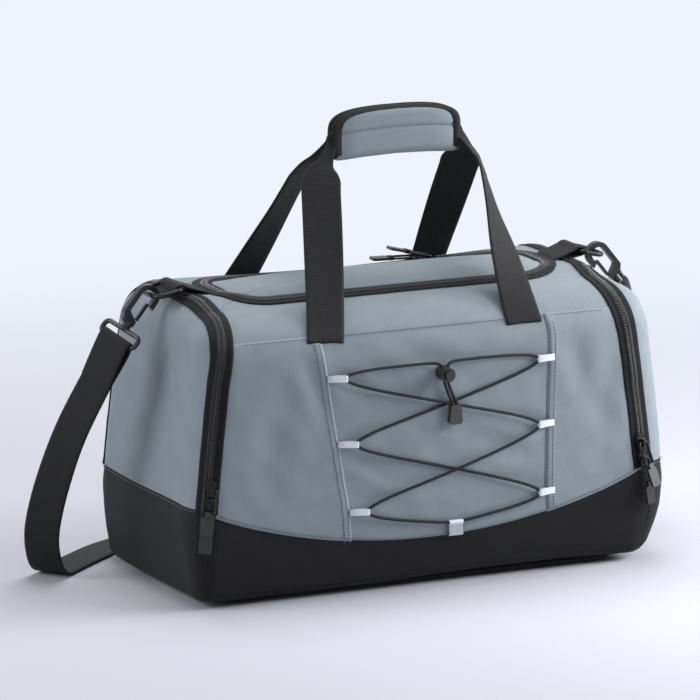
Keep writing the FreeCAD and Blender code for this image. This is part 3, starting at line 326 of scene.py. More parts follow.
world = bpy.data.worlds.new("studio")
bpy.context.scene.world = world
world.use_nodes = True
sky = world.node_tree
rays = addNode(sky, "ShaderNodeLightPath").outputs
lit = addNode(sky, "ShaderNodeBackground", Color=toLinear("#f4f6fc"), Strength=light["world"])
shown = addNode(sky, "ShaderNodeBackground", Color=toLinear(light["backdrop"]), Strength=1.0)
bent = addNode(sky, "ShaderNodeMath", {0: rays["Is Glossy Ray"], 1: rays["Is Transmission Ray"]}, operation="MAXIMUM")
directly = addNode(sky, "ShaderNodeMath", {0: rays["Is Camera Ray"], 1: bent.outputs[0]}, operation="MAXIMUM")
worldMix = addNode(sky, "ShaderNodeMixShader", {0: directly.outputs[0], 1: lit.outputs[0], 2: shown.outputs[0]})
sky.links.new(worldMix.outputs[0], sky.nodes["World Output"].inputs["Surface"])

floorMaterial, floorTree, floorShader = newMaterial("palePaintedFloor", "#cfd1d9", 0.9, Specular_IOR_Level=0.0)
floorRays = addNode(floorTree, "ShaderNodeLightPath").outputs
floorPlace = addNode(floorTree, "ShaderNodeTexCoord").outputs["Object"]
floorReach = addNode(floorTree, "ShaderNodeVectorMath", {0: floorPlace}, operation="LENGTH").outputs["Value"]
# far from the bag the floor fades into the backdrop, over the metres from From_Min to From_Max
floorFade = addNode(floorTree, "ShaderNodeMapRange", {"Value": floorReach}, interpolation_type="SMOOTHSTEP",
                    From_Min=0.35, From_Max=1.5).outputs[0]
seenRays = addNode(floorTree, "ShaderNodeMath", {0: floorRays["Is Camera Ray"], 1: floorRays["Is Glossy Ray"]},
                   operation="MAXIMUM").outputs[0]
farFactor = addNode(floorTree, "ShaderNodeMath", {0: floorFade, 1: seenRays}, operation="MULTIPLY").outputs[0]
farGlow = addNode(floorTree, "ShaderNodeEmission", Color=toLinear(light["backdrop"]), Strength=1.0)
floorMix = addNode(floorTree, "ShaderNodeMixShader", {0: farFactor, 1: floorShader.outputs[0], 2: farGlow.outputs[0]})
floorTree.links.new(floorMix.outputs[0], floorTree.nodes["Material Output"].inputs["Surface"])
floorHalf = 9000.0      # mm from the middle to each edge
floorCorners = np.array([(-1, -1, 0), (1, -1, 0), (1, 1, 0), (-1, 1, 0)]) * floorHalf
floor = makeMesh("floor", floorCorners, [[0, 1, 2, 3]], floorMaterial)
print("camera, lamps and floor made")


# the bag's surface

bag = {
    "baseHalf": (234.0, 116.0), "bellyHalf": (250.0, 123.0), "topHalf": (224.5, 116.0),   # length, width
    "belly": 80.0, "top": 279.0, "corner": 36.0, "endShoulder": 30.0, "sideShoulder": 55.0, "foot": 12.0,
    "skirtEnd": 92.0, "skirtMiddle": 47.0, "skirtSpan": 228.0, "yoke": 248.0,
    "archInset": 20.0, "lidHalf": (172.0, 50.0), "lidCorner": 40.0,
    "lidCrown": 8.5, "backSag": 5.0, "frontSet": 3.4, "footCorner": 16.0,
    "endHeights": [0, 24, 50, 130, 200, 235, 262, 279],      # heights at which the filled ends stand out
    "rightOut": [3, 8, 13, 15, 17, 17, 9, 0], "leftOut": [0, -3, -5, -8, -6, -4, -2, 0],
    # x and lift of the base's front edge
    "edgeLift": [(-230, 4), (-150, 5), (-40, 6), (60, 9), (150, 9), (230, 5)],
    "creases": [
        # x, z at each end, half width and depth in mm, on the front
        (-128, 236, -104, 170, 9, 1.8), (-104, 214, -60, 196, 7, 1.6), (-96, 150, -52, 168, 7, 1.5),
        (-90, 138, -48, 120, 7, 1.6), (-72, 96, -20, 80, 8, 1.3), (120, 208, 84, 190, 7, 1.2),
        (122, 146, 80, 158, 8, 1.3), (122, 88, 76, 100, 8, 1.2), (-30, 232, 30, 214, 10, 1.2),
        (150, 240, 176, 150, 13, 1.6), (-150, 200, -170, 110, 16, 1.4), (196, 220, 184, 120, 12, 1.3),
        (-60, 186, 10, 150, 9, 0.9), (40, 150, 96, 120, 9, 0.9), (-30, 110, 60, 86, 9, 0.9),
    ],
}

quiet = np.random.default_rng(7)
# direction with its wavelength, phase and height in mm of each wave of the cloth
waves = [(quiet.normal(size=3) * (2 * np.pi / w), quiet.uniform(0, 6.28), a)
         for w, a in ((240, 1.1), (200, 0.9), (150, 0.6), (120, 0.35), (90, 0.2), (70, 0.14), (52, 0.1))]


def halfAt(z, which):
    # half length or width at a height: a parabola from base to belly, then a gentle power curve to the top
    base, belly, top = bag["baseHalf"][which], bag["bellyHalf"][which], bag["topHalf"][which]
    under = np.clip((bag["belly"] - z) / bag["belly"], 0, 1)
    over = np.clip((z - bag["belly"]) / (bag["top"] - bag["belly"]), 0, 1.1)
    return belly - (belly - base) * under ** 1.6 - (belly - top) * over ** 1.25


def shoulder(normalAngle):
    # the radius at the rim: the end's, with the squared sine of the angle going over to the side's
    return bag["endShoulder"] + (bag["sideShoulder"] - bag["endShoulder"]) * np.sin(normalAngle) ** 2


def rimAngle(s):
    # s runs 0 to 8 round the plan: front, corner, right end, corner, back, corner, left end, corner
    return np.radians(np.interp(np.mod(s, 8), np.arange(9), [-90, -90, 0, 0, 90, 90, 180, 180, 270]))


def segmentDistance(x, z, x0, z0, x1, z1):
    # how far a place is from a line between two points, and the share of the line at the nearest one
    dx, dz = x1 - x0, z1 - z0
    t = np.clip(((x - x0) * dx + (z - z0) * dz) / (dx * dx + dz * dz), 0, 1)
    return np.hypot(x - x0 - t * dx, z - z0 - t * dz), t


def relief(p, n):
    # how far the filled cloth stands out or in: ends that bulge, soft waves and pulled creases
    x, y, z = p[..., 0], p[..., 1], p[..., 2]
    rise = np.sin(np.pi * np.clip(z / 262.0, 0, 1)) ** 1.1
    ends = np.where(n[..., 0] > 0, np.interp(z, bag["endHeights"], bag["rightOut"]),
                    np.interp(z, bag["endHeights"], bag["leftOut"]))
    out = ends * np.abs(n[..., 0]) ** 2.6
    out = out + 2.4 * np.abs(n[..., 1]) * rise * np.cos(np.clip(x / 250, -1, 1) * np.pi / 2)
    for k, phase, height in waves:
        out = out + height * np.sin(p @ k + phase) * (0.25 + 0.75 * rise)
    middle = np.cos(np.clip(x / 210, -1, 1) * np.pi / 2)
    out = out - bag["backSag"] * np.clip(y / 60, 0, 1) * np.clip(n[..., 2], 0, 1) * middle
    # the top stands up a little and slopes from 34 mm forward of the middle, easing in over 6 mm
    fall = np.clip(-y - 34, 0, 30)
    slope = 0.27 * np.where(fall < 6, fall ** 2 / 12, fall - 3)
    out = out + np.clip(n[..., 2], 0, 1) ** 2 * (2.6 - slope) * (np.abs(x) < 240)
    out = out - bag["frontSet"] * np.clip(-n[..., 1], 0, 1) * rise
    front = np.clip(-n[..., 1] * 2 - 0.6, 0, 1)
    for x0, z0, x1, z1, width, depth in bag["creases"]:
        d, t = segmentDistance(x, z, x0, z0, x1, z1)
        ridge = np.exp(-(d / width) ** 2) - 0.6 * np.exp(-((d - 1.7 * width) / width) ** 2)
        out = out - depth * front * ridge * np.sin(np.pi * np.clip(t * 0.9 + 0.05, 0, 1))
    return out * np.clip(z / 14.0, 0, 1)


def curl(p):
    # the base's edge lifts off the floor, most along the front, and settles back by 70 mm up
    places, lifts = np.array(bag["edgeLift"]).T
    lift = np.interp(p[..., 0], places, lifts) * np.clip(0.5 - p[..., 1] / 160, 0.35, 1)
    return lift * np.clip(1 - p[..., 2] / 70.0, 0, 1) ** 2


def cornerSides(s):
    # on which side of the middle the centre of the plan's corner lies, along X and along Y
    at, knots = np.mod(s, 8), np.arange(9)
    alongX, alongY = [-1, 1, 1, 1, 1, -1, -1, -1, -1], [-1, -1, -1, 1, 1, 1, 1, -1, -1]
    return np.interp(at, knots, alongX), np.interp(at, knots, alongY)


def bagSurface(s, h):
    # h is the height up the wall, then the length along the shoulder's quarter circle; returns points and normals
    s, h = np.broadcast_arrays(np.asarray(s, float), np.asarray(h, float))
    angle = rimAngle(s)
    radius = shoulder(angle)
    start = bag["top"] - radius
    a = np.clip((h - start) / radius, 0, np.pi / 2)
    z = np.minimum(h, start) + radius * np.sin(a)
    drawn = 1 - np.cos(a)
    foot = bag["foot"]
    tuck = foot - np.sqrt(np.maximum(foot ** 2 - np.clip(foot - z, 0, foot) ** 2, 0))
    length = halfAt(z, 0) - bag["endShoulder"] * drawn - tuck
    width = halfAt(z, 1) - bag["sideShoulder"] * drawn - tuck
    r = bag["corner"] * (1 - 0.3 * drawn)
    r = r - (bag["corner"] - bag["footCorner"]) * np.clip(1 - z / 95.0, 0, 1) ** 1.3
    cx, cy = cornerSides(s)
    p = np.stack([cx * (length - r) + r * np.cos(angle), cy * (width - r) + r * np.sin(angle), z], -1)
    n = np.stack([np.cos(a) * np.cos(angle), np.cos(a) * np.sin(angle), np.sin(a)], -1)
    p = p + n * relief(p, n)[..., None]
    p[..., 2] += curl(p)
    return p, n


def heightUp(s, z):
    # the h whose point has height z
    radius = shoulder(rimAngle(s))
    start = bag["top"] - radius
    return np.where(z < start, z, start + radius * np.arcsin(np.clip((z - start) / radius, -1, 1)))


def aroundAt(x, z, back=False):
    # the s of a place x along the front or back at height z
    flat = halfAt(z, 0) - bag["corner"]
    turn = np.degrees(np.arcsin(np.clip((np.abs(x) - flat) / bag["corner"], 0, 1))) / 90
    s = 0.5 * (1 + np.clip(x / flat, -1, 1)) + np.where(x > 0, turn, -turn)
    return 5 - s if back else s


def skirtTop(s):
    # the boundary seam: level at the ends and an arc that dips along the front and back
    p, n = bagSurface(s, np.full(np.shape(s), 70.0))
    x = np.abs(p[..., 0]) / bag["skirtSpan"]
    dip = np.cos(np.clip(x, 0, 1) * np.pi / 2) ** 0.85
    return bag["skirtEnd"] - (bag["skirtEnd"] - bag["skirtMiddle"]) * dip


def rimRing(halfLength, halfWidth, corner, s):
    # the same s round a rounded rectangle on the top
    a = rimAngle(s)
    cx, cy = cornerSides(s)
    x, y = cx * (halfLength - corner) + corner * np.cos(a), cy * (halfWidth - corner) + corner * np.sin(a)
    return np.stack([x, y], -1)


def topPoint(xy):
    # a place on the flat top, with the same relief
    p = np.concatenate([xy, np.full(xy.shape[:-1] + (1,), bag["top"])], -1)
    n = np.zeros_like(p)
    n[..., 2] = 1
    return p + n * relief(p, n)[..., None], n


step = 3.2         # mm between the panels' points
spare = 5.0        # mm of cloth tucked under the next panel
rollDepth = 0.9    # mm that a sewn edge rolls down onto its neighbour


def wallPanel(name, s, low, high, material, lift=0.0, overLow=False):
    # rows from the lower seam to the upper one, on columns of s; a lower edge that lies over its neighbour rolls
    # down by a bell curve of the row's number
    rows = max(int(np.max(high - low) / step), 4)
    share = np.linspace(0, 1, rows)[:, None]
    h = low + (high - low) * share
    p, n = bagSurface(np.broadcast_to(s, h.shape), h)
    roll = np.full(rows, float(lift))
    if overLow:
        roll -= rollDepth * np.exp(-(np.arange(rows) / 3) ** 2)
    return gridPiece(name, p + n * roll[:, None, None], material)


def columns(first, last):
    # columns of s about a step apart
    lengths = np.array([428, 57, 174, 57] * 2)      # mm of each side and corner round the plan
    edges = np.arange(int(np.floor(first)) - 1, int(np.ceil(last)) + 2)
    inner = edges[(edges > first + 1e-6) & (edges < last - 1e-6)]
    knots = np.concatenate([[first], inner, [last]])
    parts = []
    for a, b in zip(knots, knots[1:]):
        count = max(int(lengths[int(np.floor((a + b) / 2)) % 8] * (b - a) / step), 2)
        parts.append(np.linspace(a, b, count, endpoint=False))
    return np.concatenate(parts + [[last]])


loop = columns(-0.45, 7.55)
cornerTurn = math.degrees(math.asin((bag["corner"] - bag["archInset"]) / bag["corner"])) / 90
frontColumns = columns(-cornerTurn, 1 + cornerTurn)
backColumns = columns(4 - cornerTurn, 5 + cornerTurn)

# one closed skin, from the floor over the shoulder to the middle of the top, to lay things on
fullHeight = bag["top"] - shoulder(rimAngle(loop)) * (1 - np.pi / 2)
p, _ = bagSurface(loop[None], np.linspace(0, 1, 96)[:, None] * fullHeight)
ring = rimRing(bag["topHalf"][0] - bag["endShoulder"], bag["topHalf"][1] - bag["sideShoulder"], 25, loop)
cap, _ = topPoint(ring[None] * np.linspace(1, 0.02, 22)[:, None, None])
master = gridPiece("master", np.concatenate([p, cap[1:]]), blackLining)


def finalPoints(obj):
    # the points of an object once its modifiers or its curve are worked out; the object then goes
    bpy.context.scene.collection.objects.link(obj)
    bpy.context.view_layer.update()
    mesh = bpy.data.meshes.new_from_object(obj.evaluated_get(bpy.context.evaluated_depsgraph_get()))
    flat = np.empty(len(mesh.vertices) * 3)
    mesh.vertices.foreach_get("co", flat)
    bpy.data.objects.remove(obj)
    return flat.reshape(-1, 3)


def layOnBag(points, lift=0.0):
    # the nearest places on the bag's skin, lifted off it, by the Shrinkwrap modifier
    points = np.asarray(points, float)
    mesh = bpy.data.meshes.new("laid")
    mesh.from_pydata((points.reshape(-1, 3) * mm).tolist(), [], [])
    obj = bpy.data.objects.new("laid", mesh)
    wrap = obj.modifiers.new("wrap", "SHRINKWRAP")
    wrap.target, wrap.offset = master, lift * mm
    wrap.wrap_method, wrap.wrap_mode = "NEAREST_SURFACEPOINT", "ABOVE_SURFACE"
    return finalPoints(obj).reshape(points.shape) / mm


# cloth panels

skirt = wallPanel("baseSkirt", loop, np.zeros_like(loop), skirtTop(loop) + spare, blackOxford, -0.5)
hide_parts("base_skirt")

ringFoot, _ = bagSurface(loop, np.zeros_like(loop))
shrink = np.linspace(1, 0.02, 30)[:, None, None]
inward = np.clip((1 - shrink) * 6.0, 0, 1)
bottom = np.concatenate([ringFoot[None, :, :2] * shrink, ringFoot[None, :, 2:] * (1 - inward) + 0.6 * inward], 2)
bottomPiece = gridPiece("baseBottom", bottom, blackOxford, flip=True)
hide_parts("base_bottom")


def pocketSeam(z):
    # x of the pocket's left seam at a height
    return -80.0 - 29.0 * (z - 64.0) / 182.0


def rightSeam(z):
    # x of the pocket's right seam at a height
    return np.interp(z, [60, 240], [121.0, 127.0])


def frontPatch(name, xLeft, xRight, zLow, zHigh, material, lift, sideRoll):
    # a panel of the front between two seams given as x at each height; its side edges roll down onto the pocket
    # by a bell curve of the distance d from the seam, with a second, raised one 5 mm in
    rows, across = 64, max(int((np.max(xRight(200.0)) - np.min(xLeft(200.0))) / step), 6)
    k = np.linspace(0, 1, rows)[:, None]
    j = np.linspace(0, 1, across)[None]
    zMid = 64 + 184 * k
    x = xLeft(zMid) + (xRight(zMid) - xLeft(zMid)) * j
    s = aroundAt(x, zMid)
    low, high = zLow(s), zHigh(s)
    z = low + (high - low) * k
    x = xLeft(z) + (xRight(z) - xLeft(z)) * j
    s = aroundAt(x, z)
    p, n = bagSurface(s, heightUp(s, z))
    d = np.minimum(np.abs(x - xLeft(z)) if sideRoll[0] else 99, np.abs(x - xRight(z)) if sideRoll[1] else 99)
    out = lift - rollDepth * np.exp(-(d / 1.8) ** 2) + 0.5 * np.exp(-((d - 5) / 3.0) ** 2)
    out = out - 0.8 * np.exp(-((z - low) / 1.8) ** 2)
    return gridPiece(name, p + n * out[..., None], material)


endX = lambda z: halfAt(z, 0) - bag["archInset"]
yokeLine = lambda s: np.full(np.shape(s), bag["yoke"] + spare)
leftFront = frontPatch("frontLeft", lambda z: -endX(z), pocketSeam, skirtTop, yokeLine, greyTwill, 0.9, (False, True))
rightFront = frontPatch("frontRight", rightSeam, endX, skirtTop, yokeLine, greyTwill, 0.9, (True, False))
frontPanel = joinPieces("frontPanel", [leftFront, rightFront])
pocket = frontPatch("pocketPanel", lambda z: pocketSeam(z) - spare, lambda z: rightSeam(z) + spare, skirtTop, yokeLine,
                    greyTwill, 0.0, (False, False))
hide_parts("front_panel")
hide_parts("pocket_panel")

back = wallPanel("backPanel", backColumns, skirtTop(backColumns), heightUp(backColumns, bag["yoke"] + spare), greyTwill,
                 0.4, overLow=True)
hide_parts("back_panel")


def topBandPiece():
    # from the yoke seam up over the shoulder, then in across the top to the lid's zip
    angle = rimAngle(loop)
    start = heightUp(loop, bag["yoke"])
    endStart = bag["top"] - bag["endShoulder"] * (1 - np.radians(70.5))
    endPart = np.clip((np.abs(np.cos(angle)) - math.sin(math.radians(90 * cornerTurn))) / 0.2, 0, 1)
    low = start + (endStart - start) * endPart * endPart * (3 - 2 * endPart)
    h = low + (fullHeight - low) * np.linspace(0, 1, 34)[:, None]
    over, overN = bagSurface(np.broadcast_to(loop, h.shape), h)
    outer = rimRing(bag["topHalf"][0] - 30, bag["topHalf"][1] - 55, 25.2, loop)
    inner = rimRing(*bag["lidHalf"], bag["lidCorner"], loop)
    k = np.linspace(0, 1, 12)[1:, None, None]
    flat, flatN = topPoint(outer + (inner - outer) * k)
    p, n = np.concatenate([over, flat]), np.concatenate([overN, flatN])
    roll = np.full(len(p), 0.5) - 0.8 * np.exp(-(np.arange(len(p)) / 1.6) ** 2)
    return gridPiece("topBand", p + n * roll[:, None, None], greyTwill)


topBand = topBandPiece()
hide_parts("top_band")

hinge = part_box("lid_panel")[1].y / mm
inner = rimRing(*bag["lidHalf"], bag["lidCorner"], loop)
fill = np.linspace(1, 0.001, 26)[:, None, None]
lidXy = inner * fill      # rings of the zip's line drawn in to the middle
lidXy[..., 1] = np.minimum(lidXy[..., 1], hinge - 2.8)
lidP, lidN = topPoint(lidXy)
# the lid swells above its zip: one less the fourth power of the share of the way out, along X and along Y
lidMiddle, lidReach = (hinge - bag["lidHalf"][1]) / 2, (hinge + bag["lidHalf"][1]) / 2
crown = bag["lidCrown"] * (1 - np.abs(lidXy[..., 0] / bag["lidHalf"][0]) ** 4) * (
    1 - np.clip(np.abs(lidXy[..., 1] - lidMiddle) / lidReach, 0, 1) ** 4)
lidPanel = gridPiece("lidPanel", lidP + lidN * (0.4 + crown[..., None]), greyTwill)
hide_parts("lid_panel")

endColumns = {name: columns(first + cornerTurn, first + 3 - cornerTurn) for name, first in (("left", 5), ("right", 1))}
endFlaps = {}
for name, s in endColumns.items():
    high = bag["top"] - bag["endShoulder"] * (1 - np.radians(78)) + 0 * s
    angle = rimAngle(s)
    high = np.minimum(high, bag["top"] - shoulder(angle) * (1 - np.radians(78)))
    flap = wallPanel("endFlap" + name.title(), s, skirtTop(s), high, greyTwill, 0.15, overLow=True)
    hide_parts("end_flap_" + name)
    endFlaps[name] = flap
s = columns(-0.1, 1.1)
lining = wallPanel("pocketLining", s, np.full(len(s), 8.0), np.full(len(s), 250.0), blackLining, -11.0)
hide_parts("pocket_lining")
endWalls = []
for name, s in endColumns.items():
    high = bag["top"] - shoulder(rimAngle(s)) * 0.8
    inner = wallPanel("endWall" + name.title(), s, np.full(len(s), 8.0), high, blackLining, -9.0)
    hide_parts("end_wall_" + name)
    endWalls.append(inner)
for piece in (skirt, frontPanel, pocket, back, topBand, lidPanel, lining, *endFlaps.values(), *endWalls):
    thicken(piece, 1.1)
print("cloth panels made")


# zips

zipStyle = {"tape": 11.0, "toothPitch": 2.5, "toothRadius": 1.0, "gap": 0.25}


def archLine(side):
    # up the front, over the shoulder, across the top and down the back, a fixed way in from the end
    z = np.linspace(94, 222, 60)
    w = bag["topHalf"][1]
    a = np.linspace(0, np.pi / 2, 40)
    ends = halfAt(z, 0) - bag["archInset"]
    up = np.stack([side * ends, -(halfAt(z, 1) - 8), z], 1)
    overZ = 224 + 55 * np.sin(a)
    overX = halfAt(overZ, 0) - bag["archInset"] - 2 * np.sin(a)
    over = np.stack([side * overX, -(w - 55 + 50 * np.cos(a)), overZ], 1)
    half = np.concatenate([up, over])
    return np.concatenate([half, half[::-1] * np.array([1, -1, 1])])


def directions(points, closed):
    # which way a line runs at each of its points, round and round if it is closed
    return unit(np.roll(points, -1, 0) - np.roll(points, 1, 0) if closed else np.gradient(points, axis=0))


def zipHalf(name, line, sign, closed):
    # one tape laid on the skin beside the chain's line, with its row of coil teeth
    line = resample(line, 2.6)
    if closed:
        line = line[:-1]
    base = layOnBag(line)
    up = unit(layOnBag(line, 2.0) - base)
    across = unit(np.cross(up, directions(line, closed))) * sign
    w = np.array([zipStyle["gap"], 1.2, 3.4, 4.4, 6.0, 7.8, 9.8, zipStyle["tape"]])
    bulge = np.array([1.1, 1.25, 1.3, 0.9, 0.8, 1.1, 1.2, 0.7])
    strip = base[:, None] + across[:, None] * w[None, :, None]
    laid = layOnBag(strip)
    ups = unit(layOnBag(strip, 2.0) - laid)
    tape = gridPiece(name, laid + ups * bulge[None, :, None], zipTape, aroundRows=closed, flip=sign < 0)
    thicken(tape, 0.8)
    teethLine = resample(np.concatenate([base, base[:1]]) if closed else base, zipStyle["toothPitch"])
    if closed:
        teethLine = teethLine[:-1]
    at = layOnBag(teethLine)
    upT = unit(layOnBag(teethLine, 2.0) - at)
    alongT = directions(at, closed)
    acrossT = unit(np.cross(upT, alongT)) * sign
    shape, faces = capsule(4.6, zipStyle["toothRadius"])
    origin = at + acrossT * 1.9 + upT * 1.9 + alongT * (0.55 * sign)
    teeth = scatter(name + "Teeth", shape, faces, origin, acrossT + alongT * 0.3, alongT, upT, coilPlastic)
    return joinPieces(name, [tape, teeth])


zips = []
for name, side in (("left", -1), ("right", 1)):
    line = archLine(side)
    for part, way in (("flap", side), ("arch", -side)):      # the half on the flap, nearer the end, then the other
        half = zipHalf(part + "Zip" + name.title(), line, way, False)
        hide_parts(part + "_zip_" + name)
        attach(half, "root")
        zips.append(half)

count = 400        # points round the lid
turn = np.linspace(0, 8, count, endpoint=False)
xy = rimRing(*bag["lidHalf"], bag["lidCorner"], turn)
lidLine = np.concatenate([xy, np.full((count, 1), bag["top"])], 1)
closedLine = np.concatenate([lidLine, lidLine[:1]])
outerZip = zipHalf("lidZipOuter", closedLine, -1, True)
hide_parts("lid_zip_outer")
order = np.roll(lidLine, -int(count * 4.5 / 8), 0)
isBack = order[:, 1] > hinge - 2
firstFront = np.argmax(~isBack)
lastFront = len(order) - np.argmax(~isBack[::-1])
innerZip = zipHalf("lidZipInner", order[firstFront:lastFront], 1, False)
backRun = zipHalf("lidZipBackRun", np.concatenate([order[lastFront:], order[:firstFront]]), 1, False)
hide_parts("lid_zip_inner")
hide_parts("lid_zip_back_run")
zips += [outerZip, innerZip, backRun]
print("zips made")


# stitching

stitchStyle = {"pitch": 3.6, "length": 2.7, "radius": 0.36}
stitchParts = []


def stitch(points, normals, material, lift, name="stitches"):
    # one thread capsule every pitch along a seam line
    both = resample(np.concatenate([points, normals], 1), stitchStyle["pitch"])
    at, up = both[:, :3], unit(both[:, 3:])
    along = unit(np.gradient(at, axis=0))
    across = unit(np.cross(up, along))
    shape, faces = capsule(stitchStyle["length"], stitchStyle["radius"])
    return scatter(name, shape, faces, at + up * lift, along, across, up, material)


def seamRun(s, z, material, lift):
    # stitches along the skin through places s at heights z
    p, n = bagSurface(s, heightUp(s, z))
    stitchParts.append(stitch(p, n, material, lift))


for gap in (3.0, 8.0):
    for seam, away, low in ((pocketSeam, -gap, 53), (rightSeam, gap, 68)):
        z = np.linspace(low, 244, 80)
        seamRun(aroundAt(seam(z) + away, z), z, threadDark, 1.35)
yokeColumns = frontColumns[(frontColumns > 0.0) & (frontColumns < 1.0)]
for s in (yokeColumns, backColumns):
    seamRun(s, np.full_like(s, bag["yoke"] + 3.2), threadDark, 0.95)
for s, lift in ((frontColumns, 1.3), (backColumns, 0.9), *((s, 0.7) for s in endColumns.values())):
    seamRun(s, skirtTop(s) + 3.0, threadDark, lift)
for s in (-0.45, 1.45, 3.55, 5.45):
    z = np.linspace(3, 92, 30)
    seamRun(s + 0 * z, z, threadBlack, 0.1)
print("stitching made")


# webbing

def ribbonMesh(name, sections, thickness, material, perSpan):
    # a flat strip with rounded edges through rows of centre, direction across and width
    rows = smoothThrough(sections, perSpan)
    centre, across, width = rows[:, :3], unit(rows[:, 3:6]), rows[:, 6:7]
    along = unit(np.gradient(centre, axis=0))
    across = unit(across - along * np.sum(across * along, 1, keepdims=True))
    up = np.cross(across, along)
    w = np.array([-0.5, -0.485, -0.4, -0.2, 0, 0.2, 0.4, 0.485, 0.5, 0.485, 0.4, 0.2, 0, -0.2, -0.4, -0.485])
    t = np.repeat([0, 0.5, 0, -0.5], [1, 7, 1, 7]) * thickness
    p = centre[:, None] + across[:, None] * (w[None, :, None] * width[:, None]) + up[:, None] * t[None, :, None]
    run = runningLength(centre)
    u = w[None, :] * width
    v = np.repeat(run[:, None], len(w), 1)
    count = len(centre)
    faces = gridFaces(count, len(w), aroundColumns=True, flip=True)
    k = np.arange(1, 8)
    cap = np.stack([k, k + 1, 15 - k, 16 - k], 1)
    faces = np.concatenate([faces, cap, (cap + (count - 1) * len(w))[:, ::-1]])
    return makeMesh(name, p.reshape(-1, 3), faces, material, np.stack([u, v], 2).reshape(-1, 2))


handleStyle = {
    "spread": 105.0, "middle": 20.0, "tall": 420.0, "halfGrip": 67.0, "width": 37.5, "thick": 2.0,
    # share of the way up each leg, its turn to the bag's end and upwards in degrees, share of the width, bow in mm
    "turns": [(0, 0, 0, 1, 0), (0.1, 2, 0, 1, 0.5), (0.35, 18, 1, 1, 3), (0.6, 36, 2, 1, 6),
              (0.78, 43, 3, 1, 8.5), (0.85, 46, 6, 1, 9), (0.91, 50, 12, 0.78, 8), (0.96, 55, 25, 0.42, 5)],
    # each leg's share of that turn, by side and end
    "twist": {(-1, -1): 0.7, (-1, 1): 1.45, (1, -1): 0.75, (1, 1): 0.75},
}


def handleSections(side):
    # straight from the yoke seam to the grip's end, turning on edge on the way and entering the grip level
    h = handleStyle
    rows = []
    for end in (-1, 1):
        gripEnd = h["middle"] + end * h["halfGrip"]
        s = aroundAt(end * h["spread"], 249.0, back=side > 0)
        skinPoint, skinWay = bagSurface(s, heightUp(s, 249.0))
        foot = skinPoint + skinWay * 1.2
        top = np.array([gripEnd + end * 4.0, side * 8.0, 403.0])
        sunk, sunkWay = bagSurface(s, heightUp(s, 246.0))
        half = [(sunk - sunkWay * 2.5, 0, 0, 1.0)]
        for share, inwards, upwards, part, bow in h["turns"]:
            c = foot + (top - foot) * share + np.array([end * bow, 0, bow * 0.2])
            half.append((c, inwards * h["twist"][side, end], upwards, part))
        half += [(np.array([gripEnd + end * 1.5, side * 4.6, 411.0]), 75, 50, 0.3),
                 (np.array([gripEnd - end * 7.0, side * 2.4, h["tall"] - 2]), 90, 88, 0.5),
                 (np.array([gripEnd - end * 32.0, side * 1.7, h["tall"]]), 90, 90, 0.95)]
        legRows = []
        for c, inwards, upwards, part in half:
            i, u = math.radians(inwards), math.radians(upwards)
            out = np.array([end * math.cos(i) * math.cos(u), -side * math.sin(i) * math.cos(u), math.sin(u)])
            legRows.append((*c, *(-out), h["width"] * part))
        rows += legRows if end < 0 else legRows[::-1]
    return rows


for name, side in (("front", -1), ("back", 1)):
    handle = ribbonMesh("handle" + name.title(), handleSections(side), handleStyle["thick"], webbing, 12)
    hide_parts("handle_" + name)
    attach(handle, "root")


def strapFold(end):
    # the strap's tail, from its free edge up the outside and round the loop's lower bar
    bar = np.array([end * 270.0, 0, 242.4])
    outward, down = np.array([end * 0.81, -0.467, 0.343]), np.array([end * 0.46, 0.16, -0.87])
    way = (-end * 0.36, -0.87, -0.335)
    turns = [(-3.4, 46), (-1.0, 34), (1.8, 18), (3.6, 5), (3.0, -1.6), (0.5, -3.8), (-2.6, -2.4), (-3.8, 3), (-4.7, 16)]
    return [(*(bar + outward * out + down * fall), *way) for out, fall in turns]


# centre and direction across of the strap, from the left hook down, along the floor behind the bag and up
strapSections = strapFold(-1) + [
    (-288, 12, 198, 0.38, -0.87, -0.3), (-308, 27, 147, 0.45, -0.85, -0.25),
    (-321, 43, 92, 0.55, -0.8, -0.15), (-326, 54, 48, 0.62, -0.78, -0.05), (-320, 62, 18, 0.65, -0.76, 0),
    (-308, 72, 4, 0.66, -0.75, 0), (-290, 88, 2, 0.66, -0.75, 0), (-252, 120, 2, 0.66, -0.75, 0),
    (-213, 148, 2, 0.5, -0.86, 0), (-160, 168, 2, 0.2, -0.98, 0), (-60, 176, 2, 0, -1, 0),
    (60, 176, 2, 0, -1, 0), (150, 170, 2, -0.2, -0.98, 0), (204, 150, 2, -0.5, -0.86, 0),
    (238, 124, 4, -0.6, -0.8, 0), (256, 104, 20, -0.6, -0.8, 0), (268, 86, 50, -0.58, -0.81, -0.05),
    (278, 60, 100, -0.5, -0.83, -0.15), (284, 36, 150, -0.44, -0.85, -0.22), (282, 14, 200, -0.38, -0.87, -0.3),
] + strapFold(1)[::-1]
strap = ribbonMesh("shoulderStrap", [(*row, 38.0) for row in strapSections], 1.8, webbing, 14)
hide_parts("shoulder_strap")
print("webbing made")


# grip wrap

gripStyle = {"left": -47.0, "right": 87.0, "low": 397.0, "high": 443.0, "corner": 17.0, "thick": 7.5, "bow": 4.0}


def gripOutline(t):
    # a circle with its cosine and sine raised to small powers, smaller ones below, so that the corners fill
    x, z = np.cos(t), np.sin(t)
    return (np.sign(x) * np.abs(x) ** np.where(z < 0, 0.2, 0.42), np.sign(z) * np.abs(z) ** np.where(z > 0, 0.5, 0.16))


